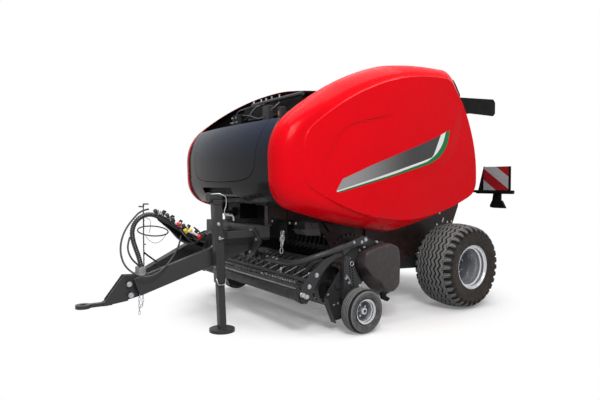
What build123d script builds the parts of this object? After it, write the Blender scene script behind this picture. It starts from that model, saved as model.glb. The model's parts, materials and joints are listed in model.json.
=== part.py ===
"""Round baler with a raised front cover, pick-up, tailgate and drawbar, parked on its jack.

Millimetres. +X is forward, towards the tow eye; +Y is the machine's left; +Z is up, with the ground at 0.
Everything is built with X = 0 at the main axle, and each piece is moved by frame_x when it is written,
so that the origin is the middle of the footprint.
"""
from build123d import *
import math
import os

# ---- driving dimensions ------------------------------------------------------------------------------
# main wheels
tyre_radius = 465.0
tyre_width = 500.0
tyre_shoulder = 60.0
rim_radius = 216.0
rim_flange_radius = 243.0
rim_width = 430.0
rim_wall = 6.0
wheel_middle_y = 1035.0
hub_radius = 95.0
hub_length = 130.0
stub_radius = 35.0
# gauge wheels of the pick-up
gauge_radius = 210.0
gauge_width = 165.0
gauge_rim_radius = 100.0
gauge_flange_radius = 118.0
gauge_rim_width = 118.0
gauge_shoulder = 28.0
gauge_x = 1600.0
gauge_middle_y = 1250.0
gauge_pin_radius = 16.0
# axle
axle_section = 120.0
axle_half_length = 770.0
axle_arm_thickness = 20.0
# bale chamber
chamber_x = 300.0
chamber_z = 1450.0
chamber_radius = 840.0
chamber_half_width = 610.0
wall = 8.0
lug_plate = 14.0
belt_thickness = 8.0
belt_width = 200.0
belt_count = 5
roller_radius = 75.0
# tailgate
gate_hinge_x = 250.0
gate_hinge_z = 2440.0
gate_gap = 6.0
gate_wall = 8.0
gate_pin_radius = 25.0
# gate cylinders
cylinder_offset = 87.0
cylinder_foot_x = 480.0
cylinder_foot_z = 1250.0
cylinder_eye_x = -120.0
cylinder_eye_z = 2230.0
barrel_radius = 35.0
cylinder_rod_radius = 18.0
cylinder_pin_radius = 15.0
cylinder_eye_radius = 32.0
cylinder_eye_width = 40.0
gate_boss_radius = 28.0
pin_head = 12.0
# side panels
panel_edge_y = 900.0
panel_face_y = 1105.0
panel_wall = 5.0
panel_bulge = 0.35
panel_hinge_y = 815.0
panel_hinge_z = 2400.0
panel_pin_radius = 12.0
knuckle_wall = 8.0
knuckle_length = 50.0
# front cover
cover_top_x = 2262.0
cover_front_x = 2388.0
cover_top_z = 1976.0
cover_half_width = 885.0
cover_wall = 5.0
cover_crown = 55.0
flap_half_width = 665.0
flap_flare = 95.0
flap_corner = 130.0
flap_sag_radius = 2500.0
# front frame and drawbar
beam_front_x = 2310.0
beam_back_x = 2200.0
beam_low_z = 845.0
beam_high_z = 975.0
beam_half_length = 760.0
tie_low_z = 1180.0
drawbar_nose_x = 3310.0
drawbar_nose_y = 75.0
drawbar_nose_z = 425.0
drawbar_root_y = 400.0
drawbar_root_z = 845.0
drawbar_height = 165.0
drawbar_width = 80.0
tongue_plate = 15.0
eye_x = 3767.0
eye_z = 292.0
eye_outer_radius = 65.0
eye_bore_radius = 25.0
eye_thickness = 32.0
# jack
jack_x = 2640.0
jack_y = 470.0
jack_tube_side = 85.0
jack_leg_side = 66.0
jack_tube_low_z = 463.0
jack_tube_high_z = 1150.0
jack_foot_radius = 120.0
jack_foot_height = 30.0
jack_travel = 400.0
# pick-up
pickup_pivot_x = 1200.0
pickup_pivot_z = 750.0
pickup_pivot_radius = 30.0
pickup_half_width = 1040.0
pickup_plate = 8.0
reel_x = 1730.0
reel_z = 420.0
reel_shaft_radius = 45.0
reel_bar_radius = 15.0
reel_pin_radius = 24.0
reel_bar_orbit = 150.0
band_radius = 205.0
band_thickness = 3.0
band_width = 78.0
band_pitch = 104.0
band_count = 20
# windguard
guard_pivot_x = 1420.0
guard_pivot_z = 840.0
guard_pin_radius = 14.0
guard_arm_y = 1076.0
guard_arm_plate = 10.0
bow_radius = 27.5
bow_x = 2100.0
bow_z = 630.0
bow_half_width = 640.0
crop_roller_x = 2150.0
crop_roller_z = 365.0
crop_roller_radius = 60.0
# feed rotor
rotor_x = 1230.0
rotor_z = 600.0
rotor_radius = 230.0
rotor_tube_radius = 90.0
rotor_tine_plate = 12.0
rotor_star_count = 14
rotor_spigot_radius = 30.0
input_radius = 17.5
input_z = 1090.0
# fits and clearances
running_fit = 0.05
slide_fit = 0.4
seat_gap = 0.3
slack = 6.0

# ---- worked-out places -------------------------------------------------------------------------------
takeup_back_x = -1230.0
eye_front_x = eye_x + eye_outer_radius
frame_x = -(eye_front_x + takeup_back_x) / 2
wall_outer_y = chamber_half_width + wall
gate_outer_y = chamber_half_width - gate_gap
gate_inner_y = gate_outer_y - gate_wall
reel_half = pickup_half_width - 26.0
cylinder_y = wall_outer_y + cylinder_offset
eye_inner_y = cylinder_y - cylinder_eye_width / 2
eye_outer_y = cylinder_y + cylinder_eye_width / 2
cover_hinge_x = cover_top_x - 40
cover_hinge_z = cover_top_z - 10
rail_low_z = cover_hinge_z - 60
cylinder_length = math.dist((cylinder_foot_x, cylinder_foot_z), (cylinder_eye_x, cylinder_eye_z))
cylinder_lean = math.degrees(math.atan2(cylinder_eye_z - cylinder_foot_z,
                                        cylinder_eye_x - cylinder_foot_x))


# ---- shapes ------------------------------------------------------------------------------------------
def block(x0, x1, y0, y1, z0, z1):
    """A box between two corners."""
    return Pos((x0 + x1) / 2, (y0 + y1) / 2, (z0 + z1) / 2) * Box(abs(x1 - x0), abs(y1 - y0), abs(z1 - z0))


def slab(face, y0, y1):
    """A face drawn in (x, z), carried across from y0 to y1."""
    return extrude(Plane.XZ.offset(-y1) * face, y1 - y0)


def plate(points, y0, y1):
    """A straight-sided plate across the machine, from its (x, z) corners."""
    return slab(make_face(Polyline(*points, close=True)), y0, y1)


def rod_y(x, z, radius, y0, y1):
    """A round bar across the machine."""
    return slab(Pos(x, z) * Circle(radius), y0, y1)


def pipe_y(x, z, radius, bore, y0, y1):
    """A round tube across the machine."""
    return slab(Pos(x, z) * (Circle(radius) - Circle(bore)), y0, y1)


def rod_between(a, b, radius):
    """A round bar between two points."""
    start, end = Vector(*a), Vector(*b)
    return extrude(Plane(origin=start, z_dir=end - start) * Circle(radius), (end - start).length)


def box_between(a, b, width, height):
    """A straight box beam between two points, its height kept upright."""
    start, end = Vector(*a), Vector(*b)
    across = (end - start).cross(Vector(0, 0, 1))
    section = Plane(origin=start, x_dir=across, z_dir=end - start) * Rectangle(width, height)
    return extrude(section, (end - start).length)


def mirrored(solid):
    """The same piece on the other side of the machine."""
    return mirror(solid, about=Plane.XZ)


def both(solid):
    """A piece and its twin on the other side, as one list of solids."""
    return [*solid.solids(), *mirrored(solid).solids()]


def joined(first, *others):
    """Pieces fused into one."""
    whole = first
    for other in others:
        whole = whole + other
    return whole


nodes = {}


def keep(name, *pieces):
    """Files solids under a node's name."""
    solids = []
    for piece in pieces:
        solids += piece if isinstance(piece, list) else list(piece.solids())
    nodes[name] = solids


# ---- side panels -------------------------------------------------------------------------------------
# Each row is one line or arc of the outline, clockwise from the top rear corner:
# (edge through, edge end) on the inner edge, (face through, face end) on the outer face; None is a line.
panel_start = {"edge": (20, 2560), "face": (120, 2400)}
panel_rows = [
    # edge through, edge end, face through, face end
    ((70, 2628), (200, 2652), (185, 2480), (300, 2508)),
    ((640, 2638), (1068, 2582), (690, 2486), (1040, 2415)),
    ((1650, 2365), (2243, 1983), (1530, 2225), (2014, 1922)),
    ((2368, 1806), (2398, 1600), (2098, 1838), (2134, 1700)),
    (None, (2393, 1440), None, (2132, 1480)),
    ((2350, 1262), (2240, 1160), (2112, 1395), (2040, 1335)),
    ((1700, 1010), (957, 877), (1517, 1110), (836, 1009)),
    ((520, 975), (-120, 1228), (400, 1062), (-130, 1228)),
    ((-215, 1310), (-240, 1440), (-235, 1310), (-262, 1440)),
    ((-170, 1960), (20, 2560), (-190, 1900), (120, 2400)),
]


panel_middle = (1070.0, 1765.0)
panel_half_size = (1330.0, 888.0)


def panel_outline(bulge, inset):
    """The panel's closed outline between edge (bulge 1) and face (bulge 0), drawn inwards by inset."""

    def mixed(edge, face):
        point = [bulge * e + (1 - bulge) * f for e, f in zip(edge, face)]
        return tuple(m + (p - m) * (1 - inset / h) for p, m,
                     h in zip(point, panel_middle, panel_half_size))

    here = mixed(panel_start["edge"], panel_start["face"])
    pieces = []
    for edge_mid, edge_end, face_mid, face_end in panel_rows:
        end = mixed(edge_end, face_end)
        if edge_mid is None:
            pieces.append(Line(here, end))
        else:
            pieces.append(ThreePointArc(here, mixed(edge_mid, face_mid), end))
        here = end
    return make_face(Curve() + pieces)


def panel_body(inset, edge_y, face_y):
    """The panel's block, from its edge through a rounded shoulder to its face."""
    shoulder_y = edge_y + 0.6 * (face_y - edge_y)
    sections = [(edge_y, 1.0), (shoulder_y, 1 - panel_bulge), (face_y, 0.0)]
    faces = [Plane.XZ.offset(-y) * panel_outline(bulge, inset) for y, bulge in sections]
    return loft(faces, ruled=True)


def panel_shell():
    """The moulded panel: a shallow tray, open towards the machine."""
    outer = panel_body(0, panel_edge_y, panel_face_y)
    inner = panel_body(panel_wall, panel_edge_y - 1, panel_face_y - panel_wall)
    return outer - inner


panel_hinge_stations = (520.0, 1330.0)
rib_plate = 8.0


def panel_rib(x):
    """A rib inside the panel, carrying one hinge knuckle."""
    knuckle_radius = panel_pin_radius + running_fit + knuckle_wall
    inside = panel_face_y - panel_wall
    corners = [
        (panel_hinge_y, panel_hinge_z - knuckle_radius),
        (panel_hinge_y, panel_hinge_z + knuckle_radius * 0.6),
        (panel_edge_y, panel_hinge_z + 30),
        (inside, panel_hinge_z - 200),
        (inside, panel_hinge_z - 420),
    ]
    web = extrude(Plane.YZ.offset(x - rib_plate / 2) * make_face(Polyline(*corners, close=True)),
                  rib_plate)
    boss = Plane.YZ.offset(x - knuckle_length / 2) * Pos(panel_hinge_y,
                                                         panel_hinge_z) * Circle(knuckle_radius)
    bore = Plane.YZ.offset(x - knuckle_length) * Pos(panel_hinge_y, panel_hinge_z)
    hole = extrude(bore * Circle(panel_pin_radius + running_fit), 2 * knuckle_length)
    return web + extrude(boss, knuckle_length) - hole


def side_panel():
    shell = panel_shell()
    for x in panel_hinge_stations:
        shell = shell + panel_rib(x)
    return shell


left_panel = side_panel()
keep("side_panel_left", left_panel)
keep("side_panel_right", mirrored(left_panel))


def panel_hinge(x):
    """A bracket on the chamber wall, with the pin that the panel's knuckle turns on."""
    ear_gap = knuckle_length / 2 + 6
    ear_plate = 10.0
    reach = [
        (wall_outer_y, panel_hinge_z - 150),
        (wall_outer_y, panel_hinge_z),
        (panel_hinge_y, panel_hinge_z + 24),
        (panel_hinge_y + 22, panel_hinge_z),
        (panel_hinge_y, panel_hinge_z - 24),
    ]
    shape = make_face(Polyline(*reach, close=True))
    ears = [
        extrude(Plane.YZ.offset(x + ear_gap) * shape, ear_plate),
        extrude(Plane.YZ.offset(x - ear_gap - ear_plate) * shape, ear_plate),
    ]
    pin_start = x - ear_gap - ear_plate - 6
    pin_length = 2 * (ear_gap + ear_plate + 6)
    pin_plane = Plane.YZ.offset(pin_start) * Pos(panel_hinge_y, panel_hinge_z)
    return ears[0] + ears[1] + extrude(pin_plane * Circle(panel_pin_radius), pin_length)


keep("panel_hinges", *[both(panel_hinge(x)) for x in panel_hinge_stations])

# ---- chamber walls, belts and rollers ----------------------------------------------------------------
wall_outline = [
    (290, 2330), (290, 2500), (1250, 2440), (1900, 2110), (2145, rail_low_z - seat_gap),
    (2198, rail_low_z - seat_gap), (2240, 1560),
    (2205, 1060), (1900, 1010), (1560, 860), (1470, 700), (1440, 420), (1300, 320), (1000, 320),
    (800, 460), (330, 460), (290, 560),
]
fixed_wall = plate(wall_outline, chamber_half_width, wall_outer_y)
wall_pins = [
    # x, z, radius, y of the inner end, y of the outer end
    (gate_hinge_x, gate_hinge_z, gate_pin_radius, gate_inner_y - 12, wall_outer_y + lug_plate + 10),
    (cylinder_foot_x, cylinder_foot_z, cylinder_pin_radius, chamber_half_width, eye_outer_y + pin_head),
    (pickup_pivot_x, pickup_pivot_z, pickup_pivot_radius, chamber_half_width,
     pickup_half_width + pickup_plate + 20),
    (rotor_x, rotor_z, rotor_spigot_radius, chamber_half_width - 40, wall_outer_y),
]
hinge_lug = plate([(200, 2380), (200, 2500), (420, 2500), (420, 2380)], wall_outer_y,
                  wall_outer_y + lug_plate)
fixed_wall = fixed_wall + hinge_lug
pins = [rod_y(*row) for row in wall_pins]
for pin in pins:
    fixed_wall = fixed_wall - pin
keep("chamber_walls", both(fixed_wall))
keep("wall_pins", *[both(pin) for pin in pins])


def beside_belt(angle, radius):
    """The middle of a roller that lies against the outside of the chamber's belts, at an angle about
    the chamber's middle."""
    reach = chamber_radius + belt_thickness + seat_gap + radius
    turn = math.radians(angle)
    return chamber_x + reach * math.cos(turn), chamber_z + reach * math.sin(turn)


def roller_set(places, half_length):
    rollers = []
    for angle, radius in places:
        x, z = beside_belt(angle, radius)
        rollers.append(rod_y(x, z, radius, -half_length, half_length))
    return rollers


front_roller_angles = [
    # angle about the chamber's middle, radius
    (-87.0, 65.0),
    (-69.0, 65.0),
    (-43.5, 80.0),
    (-26.5, roller_radius),
    (24.0, roller_radius),
    (56.0, roller_radius),
    (82.0, 55.0),
]
top_roller = rod_y(1560.0, 1960.0, roller_radius, seat_gap - chamber_half_width,
                   chamber_half_width - seat_gap)
keep("front_rollers", *roller_set(front_roller_angles, chamber_half_width - seat_gap), top_roller)


def belt_arc(radius, from_deg, to_deg, y0, y1):
    """A belt lying along the chamber's round wall between two angles about its middle."""
    centre = (chamber_x, chamber_z)
    outer = CenterArc(centre, radius + belt_thickness, from_deg, to_deg - from_deg)
    inner = CenterArc(centre, radius, from_deg, to_deg - from_deg)
    sides = [Line(outer @ 0, inner @ 0), Line(outer @ 1, inner @ 1)]
    return slab(make_face(Curve() + [outer, inner, *sides]), y0, y1)


belt_pitch = (2 * gate_inner_y - 20.0) / belt_count
belt_middles = [(i - (belt_count - 1) / 2) * belt_pitch for i in range(belt_count)]


def belts(radius, from_deg, to_deg):
    return [belt_arc(radius, from_deg, to_deg, y - belt_width / 2,
                     y + belt_width / 2) for y in belt_middles]


keep("front_belts", *belts(chamber_radius, -28.0, 84.0))

# ---- axle frame --------------------------------------------------------------------------------------
axle_half = axle_section / 2
axle_beam = block(-axle_half, axle_half, -axle_half_length, axle_half_length,
                  tyre_radius - axle_half, tyre_radius + axle_half)
arm_outline = [(-110, 390), (110, 390), (700, 420), (980, 560), (980, 660), (420, 720), (330, 560),
               (-60, 545), (-110, 520)]
arm = plate(arm_outline, wall_outer_y, wall_outer_y + axle_arm_thickness)
stub_end = wheel_middle_y + hub_length / 2 - 25.0
stub = rod_y(0, tyre_radius, stub_radius, axle_half_length, stub_end)
collar = rod_y(0, tyre_radius, hub_radius - 25, axle_half_length - 2, axle_half_length + 30)
keep("axle_frame", joined(axle_beam, arm, mirrored(arm), stub, mirrored(stub), collar, mirrored(collar)))

# ---- main wheels -------------------------------------------------------------------------------------


def ring_y(profile, y_middle, x, z):
    """A ring turned about the axle, from its (radius, y) corners."""
    face = make_face(Polyline(*profile, close=True))
    turned = revolve(Plane.XY * face, Axis.Y)
    return Pos(x, y_middle, z) * turned


def tyre(radius, width, shoulder, rim_seat, flange, seat_half):
    """Half a tyre's section mirrored: from its seat in the rim, over the flange, round to the tread."""
    half = width / 2
    side = [
        (rim_seat + seat_gap, seat_half - 18), (flange + 1.5, seat_half - 2.5), (flange + 8,
                seat_half + 4),
        ((radius + flange) / 2, half), (radius - shoulder, half - 6), (radius - 10, half - shoulder),
        (radius, half - shoulder - 30),
    ]
    return side + [(r, -y) for r, y in reversed(side)]


def rim(radius, flange, width, thickness, disc_y, hub_bore, hub_outer, hub_long):
    """A wheel rim: barrel with two flanges, a disc and a bored hub."""
    half = width / 2
    barrel = [
        (radius - thickness, -half), (flange, -half - 8), (flange, -half), (radius, -half + 14),
        (radius, half - 14), (flange, half), (flange, half + 8), (radius - thickness, half),
    ]
    disc = [(hub_bore, disc_y - 5), (radius - thickness + 1, disc_y - 5),
            (radius - thickness + 1, disc_y + 5), (hub_bore, disc_y + 5)]
    hub = [(hub_bore, -hub_long / 2), (hub_outer, -hub_long / 2), (hub_outer, hub_long / 2),
           (hub_bore, hub_long / 2)]
    return [barrel, disc, hub]


def wheel(name, profile, rim_profiles, x, z, y):
    tyre_ring = ring_y(profile, y, x, z)
    rim_ring = ring_y(rim_profiles[0], y, x, z)
    for other in rim_profiles[1:]:
        rim_ring = rim_ring + ring_y(other, y, x, z)
    for side, turn in (("left", lambda s: s), ("right", mirrored)):
        keep(f"{name}_tyre_{side}", turn(tyre_ring))
        keep(f"{name}_rim_{side}", turn(rim_ring))


main_rim = rim(rim_radius, rim_flange_radius, rim_width, rim_wall, -15.0, stub_radius + running_fit,
               hub_radius, hub_length)
main_tyre = tyre(tyre_radius, tyre_width, tyre_shoulder, rim_radius, rim_flange_radius, rim_width / 2)
wheel("main", main_tyre, main_rim, 0.0, tyre_radius, wheel_middle_y)
gauge_rim = rim(gauge_rim_radius, gauge_flange_radius, gauge_rim_width, 4.0, -8.0,
                gauge_pin_radius + running_fit,
                34.0, 90.0)
gauge_tyre = tyre(gauge_radius, gauge_width, gauge_shoulder, gauge_rim_radius, gauge_flange_radius,
                  gauge_rim_width / 2)
wheel("gauge", gauge_tyre, gauge_rim, gauge_x, gauge_radius, gauge_middle_y)

# ---- tailgate ----------------------------------------------------------------------------------------
gate_outline = [
    (215, 2490), (-330, 2440), (-520, 2250), (-600, 1950), (-605, 1500), (-560, 1100), (-430, 830),
    (-300, 690), (210, 605), (278, 640), (278, 2395),
]
gate_side = plate(gate_outline, gate_inner_y, gate_outer_y)
gate_side = gate_side + rod_y(gate_hinge_x, gate_hinge_z, 60.0, gate_inner_y, gate_outer_y)
gate_side = gate_side - rod_y(gate_hinge_x, gate_hinge_z, gate_pin_radius + running_fit,
                              gate_inner_y - 30, gate_outer_y + 30)
keep("tailgate_walls", both(gate_side))
gate_boss = rod_y(cylinder_eye_x, cylinder_eye_z, gate_boss_radius, gate_outer_y, eye_inner_y - seat_gap)
keep("gate_bosses", both(gate_boss))

gate_roller_angles = [
    # angle about the chamber's middle, radius
    (108.0, 50.0),
    (152.0, 50.0),
    (246.5, 60.0),
]
gate_roller_half = gate_inner_y - seat_gap
keep("tailgate_rollers", *roller_set(gate_roller_angles, gate_roller_half))
keep("tailgate_belts", *belts(chamber_radius, 98.0, 249.0))

gate_tubes = [
    # x0, x1, z0, z1
    (-400.0, -340.0, 2090.0, 2150.0),
    (-500.0, -450.0, 955.0, 1005.0),
    (-290.0, -230.0, 2340.0, 2400.0),
]
keep("tailgate_frame", *[block(x0, x1, -gate_roller_half, gate_roller_half, z0, z1) for x0, x1, z0,
                         z1 in gate_tubes])

# belt take-up arms: two plates that stand out behind the tailgate's top, with a roller between them
arm_y = chamber_half_width + 30.0
arm_plate = 10.0
takeup_outline = [(-300, 2250), (-300, 2385), (-430, 2440), (-1190, 2480), (takeup_back_x, 2440),
                  (takeup_back_x, 2300), (-1190, 2262), (-560, 2262)]
takeup_arm = plate(takeup_outline, arm_y, arm_y + arm_plate)
takeup_bar = rod_y(-1110, 2370, 45.0, -arm_y - 2, arm_y + 2)
takeup_foot = block(-420, -310, gate_outer_y, arm_y + 2, 2255, 2330)
keep("takeup_arms", joined(takeup_arm, mirrored(takeup_arm), takeup_bar, takeup_foot,
                           mirrored(takeup_foot)))

# light beam with a striped board at each end
light_beam_x = -620.0
board_plate = 6.0
light_beam = block(light_beam_x - 70, light_beam_x, -1300, 1300, 1270, 1300)
board = block(light_beam_x - board_plate, light_beam_x, 955, 1295, 1300, 1580)
board_side = plate([(light_beam_x, 1300), (light_beam_x - 70, 1300), (light_beam_x - 6, 1560),
                    (light_beam_x, 1560)],
                   949, 955)
lamp_neck = block(light_beam_x - 45, light_beam_x - 20, 1110, 1150, 1180, 1270)
lamp_plate = extrude(
    Plane.YZ.offset(light_beam_x - 50) * make_face(Polyline((1095, 1180), (1165, 1180), (1215, 1090),
                                                            (1045, 1090), close=True)),
    35,
)
beam_stay = block(light_beam_x - 60, -540, gate_outer_y, gate_outer_y + 30, 1200, 1275)
light_set = joined(board, board_side, lamp_neck, lamp_plate, beam_stay)
keep("light_beam", joined(light_beam, light_set, mirrored(light_set)))

# ---- gate cylinders ----------------------------------------------------------------------------------
barrel_share = 0.80


def along_cylinder(solid):
    """Turns a piece built along +X at the origin so that it leaves the foot pin towards the eye."""
    return Pos(cylinder_foot_x, cylinder_y, cylinder_foot_z) * Rot(0, -cylinder_lean, 0) * solid


def lying(radius, x0, x1):
    return extrude(Plane.YZ.offset(x0) * Circle(radius), x1 - x0)


def eye(x):
    """A cylinder's end eye, with its bore across."""
    ring = Pos(x, 0, 0) * Rot(90, 0, 0) * Cylinder(cylinder_eye_radius, cylinder_eye_width)
    bore = Pos(x, 0, 0) * Rot(90, 0, 0) * Cylinder(cylinder_pin_radius + running_fit,
                                                   2 * cylinder_eye_width)
    return ring, bore


def gate_cylinder():
    barrel_end = barrel_share * cylinder_length
    foot_ring, foot_bore = eye(0)
    barrel = joined(foot_ring, lying(barrel_radius, 22, barrel_end)) - foot_bore
    barrel = barrel - lying(cylinder_rod_radius + running_fit, 60, barrel_end + 1)
    top_ring = eye(cylinder_length)[0]
    top_pin = Pos(cylinder_length, pin_head / 2, 0) * Rot(90, 0, 0) * Cylinder(
        cylinder_pin_radius, cylinder_eye_width + pin_head)
    rod = joined(top_ring, lying(cylinder_rod_radius, 90, cylinder_length - 22), top_pin)
    return along_cylinder(barrel), along_cylinder(rod)


barrel, gate_rod = gate_cylinder()
for side, turn in (("left", lambda s: s), ("right", mirrored)):
    keep(f"gate_barrel_{side}", turn(barrel))
    keep(f"gate_rod_{side}", turn(gate_rod))

# ---- the front cover's section -----------------------------------------------------------------------
cover_rows = [
    # through, end: the cover's section from its top edge down, on its outer side
    ((2350, 1826), (cover_front_x, 1600)),
    (None, (cover_front_x - 5, 1450)),
    ((2345, 1290), (2240, 1172)),
]


def cover_section(inset):
    """The cover's outer line, or its inner line moved in by the wall, from top to bottom."""
    here = (cover_top_x - inset, cover_top_z)
    pieces = []
    for through, end in cover_rows:
        end = (end[0] - inset, end[1])
        if through is None:
            pieces.append(Line(here, end))
        else:
            pieces.append(ThreePointArc(here, (through[0] - inset, through[1]), end))
        here = end
    return pieces


def crowned(face):
    """A section swung about a far upright axis, so that it stands forward by the crown in the middle."""
    reach = (cover_half_width**2 + cover_crown**2) / (2 * cover_crown)
    swing = math.degrees(math.asin(cover_half_width / reach)) + 0.5
    axis = Axis((cover_front_x + cover_crown - reach, 0, 0), (0, 0, 1))
    start = (Plane.XZ * Pos(cover_crown, 0) * face).rotate(axis, -swing)
    return revolve(start, axis, 2 * swing)


def behind_cover(y0, y1, gap):
    """The space behind the cover, ending at a gap from its inner side."""
    line = cover_section(cover_wall + gap)
    top, bottom = line[0] @ 0, line[-1] @ 1
    back = Polyline(bottom, (2000, bottom.Y), (2000, top.Y), top)
    return crowned(make_face(Curve() + [*line, back])) & block(1900, 2600, y0, y1, 1000, 2100)


# ---- front frame, drawbar and tow eye ----------------------------------------------------------------
crossbeam = block(beam_back_x, beam_front_x, -beam_half_length, beam_half_length, beam_low_z, beam_high_z)
post = block(beam_back_x - 20, beam_back_x + 25, chamber_half_width - 60, chamber_half_width,
             beam_high_z, 1500)
post_tie = block(beam_back_x - 15, beam_back_x + 25, -chamber_half_width + 10, chamber_half_width - 10,
                 tie_low_z, tie_low_z + 50)
jack_bracket = block(beam_front_x, jack_x - jack_tube_side / 2, jack_y - 35, jack_y + 35, 800, 930)
hanger_plate = 8.0
hanger_back_x = beam_back_x - 22.5
hanger_outline = [
    # y, z
    (225, 930), (428, 930), (428, 800), (305, 690), (225, 690),
]
hanger_face = make_face(Polyline(*hanger_outline, close=True))
hanger = extrude(Plane.YZ.offset(hanger_back_x) * hanger_face, hanger_plate)
hanger = hanger + block(hanger_back_x + hanger_plate, beam_back_x, 225, 428, 870, 930)
conduit_gland = rod_between((beam_front_x - 1, -55, 900), (beam_front_x + 30, -55, 900), 38)
stay_y = chamber_half_width - 35.0
cover_stay_low = block(beam_back_x, 2500, stay_y, stay_y + 12, 1250, 1290)
cover_stay_low = cover_stay_low & behind_cover(stay_y - 50, stay_y + 50, seat_gap)
keep("front_frame", joined(crossbeam, post, mirrored(post), post_tie, jack_bracket, hanger,
                           mirrored(hanger),
                           conduit_gland, cover_stay_low, mirrored(cover_stay_low)))

nose = (drawbar_nose_x, drawbar_nose_y, drawbar_nose_z)
root_end = (beam_front_x - 60, drawbar_root_y, drawbar_root_z)
drawbar_beam = box_between(root_end, nose, drawbar_width, drawbar_height)
behind_front_face = block(beam_front_x - 400, beam_front_x, 0, 900, 500, 1300)
tongue_half = drawbar_nose_y - drawbar_width / 2
tongue_space = block(drawbar_nose_x - 200, drawbar_nose_x + 200, -tongue_half, tongue_half, 0, 1000)
under_root = plate([(beam_front_x - 1, 790), (beam_front_x - 1, 700), (beam_front_x + 24, 700)], 0, 900)
drawbar_beam = drawbar_beam - behind_front_face - tongue_space - under_root
keep("drawbar_beams", both(drawbar_beam))

tongue_side = [
    (drawbar_nose_x - 60, 530), (drawbar_nose_x + 110, 540), (3580, 330), (3575,
            275), (drawbar_nose_x - 60, 335),
]
tongue_plate_one = plate(tongue_side, tongue_half - tongue_plate, tongue_half)
shank = block(3520, eye_x, -24, 24, eye_z - eye_thickness / 2, eye_z + eye_thickness / 2)
shank_web = plate([(3380, 420), (3600, eye_z + 16), (3600, eye_z - 16), (3380, 300)], -tongue_half,
                  tongue_half)
eye_ring = Pos(eye_x, 0, eye_z) * Cylinder(eye_outer_radius, eye_thickness)
eye_hole = Pos(eye_x, 0, eye_z) * Cylinder(eye_bore_radius, 2 * eye_thickness)
tongue = joined(tongue_plate_one, mirrored(tongue_plate_one), shank_web, shank, eye_ring) - eye_hole
keep("hitch_tongue", tongue)

# ---- jack --------------------------------------------------------------------------------------------
half_tube = jack_tube_side / 2
half_bore = jack_leg_side / 2 + slide_fit
half_leg = jack_leg_side / 2
jack_tube = block(jack_x - half_tube, jack_x + half_tube, jack_y - half_tube, jack_y + half_tube,
                  jack_tube_low_z, jack_tube_high_z)
jack_bore = block(jack_x - half_bore, jack_x + half_bore, jack_y - half_bore, jack_y + half_bore,
                  jack_tube_low_z - 1, jack_tube_high_z - 12)
jack_head = rod_between((jack_x - 48, jack_y - 12, jack_tube_high_z + 22),
                        (jack_x + 62, jack_y - 12, jack_tube_high_z + 22), 42)
keep("jack_tube", joined(jack_tube - jack_bore, jack_head))
jack_leg = block(jack_x - half_leg, jack_x + half_leg, jack_y - half_leg, jack_y + half_leg,
                 jack_foot_height - 1, jack_tube_high_z - jack_travel - 40)
jack_foot = Pos(jack_x, jack_y, jack_foot_height / 2) * Cylinder(jack_foot_radius, jack_foot_height)
keep("jack_leg", jack_leg + jack_foot)

# ---- front cover -------------------------------------------------------------------------------------
outer_line = cover_section(0)
inner_line = cover_section(cover_wall)
ends = [Line(outer_line[0] @ 0, inner_line[0] @ 0), Line(outer_line[-1] @ 1, inner_line[-1] @ 1)]
cover_face = make_face(Curve() + [*outer_line, *inner_line, *ends])
cover = crowned(cover_face) & block(2000, 2600, -cover_half_width, cover_half_width, 1000, 2100)
flap_low_z = 1398.0


def flap_zone(grow):
    """The space that holds the flap: U-shaped as seen from the front, open at the top."""
    half = flap_half_width + grow
    low = flap_low_z - grow
    u_line = FilletPolyline(
        (-half - flap_flare, 2100), (-half, low + 60), (0, low), (half, low + 60), (half + flap_flare,
                2100),
        radius=[flap_corner, flap_sag_radius, flap_corner],
    )
    return extrude(Plane.YZ.offset(2000) * make_face(u_line + Line(u_line @ 1, u_line @ 0)), 700)


hand_slot = block(2300, 2500, -530, 180, 1285, 1345)
low_arch = extrude(
    Plane.YZ.offset(2000) * make_face(Polyline((-620, 1000), (-420, 1255), (420, 1255), (620, 1000),
                                               close=True)), 700)
surround = cover - flap_zone(slack) - hand_slot - low_arch
cover_pin_radius = 10.0
flap_hinge_stations = (-450.0, 450.0)
flap = cover & flap_zone(0)
flap = flap - block(2000, 2600, -2000, 2000, cover_top_z - 2, 2100)
behind_flap = behind_cover(-flap_half_width, flap_half_width, -1)
for y in flap_hinge_stations:
    knuckle = pipe_y(cover_hinge_x, cover_hinge_z, 18.0, cover_pin_radius + running_fit, y - 30, y + 30)
    web = plate([(cover_hinge_x + 8, cover_hinge_z + 4), (cover_hinge_x + 8, cover_hinge_z - 14),
                 (cover_hinge_x + 200, cover_hinge_z - 66), (cover_hinge_x + 200,
                         cover_hinge_z - 34)], y - 20, y + 20)
    web = web & behind_flap
    flap = flap + (web - rod_y(cover_hinge_x, cover_hinge_z, 17.0, y - 30, y + 30)) + knuckle
keep("front_flap", flap)
cover_rail = block(cover_hinge_x - 70, cover_hinge_x - 30, -wall_outer_y - 250, wall_outer_y + 250,
                   rail_low_z, rail_low_z + 40)
pieces = [cover_rail]
for y in flap_hinge_stations:
    for ear_y in (y - 48, y + 36):
        pieces.append(plate([(cover_hinge_x - 50, cover_hinge_z - 50),
                             (cover_hinge_x - 50, cover_hinge_z + 14),
                             (cover_hinge_x + 14, cover_hinge_z + 14), (cover_hinge_x + 14,
                                     cover_hinge_z - 14)],
                            ear_y, ear_y + 12))
    pieces.append(rod_y(cover_hinge_x, cover_hinge_z, cover_pin_radius, y - 50, y + 50))
cover_stay_high = block(cover_hinge_x - 31, 2500, 790, 802, rail_low_z,
                        rail_low_z + 30) & behind_cover(700, 900, seat_gap)
keep("cover_rail", joined(*pieces, cover_stay_high, mirrored(cover_stay_high)))
keep("cover_surround", surround)

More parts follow.
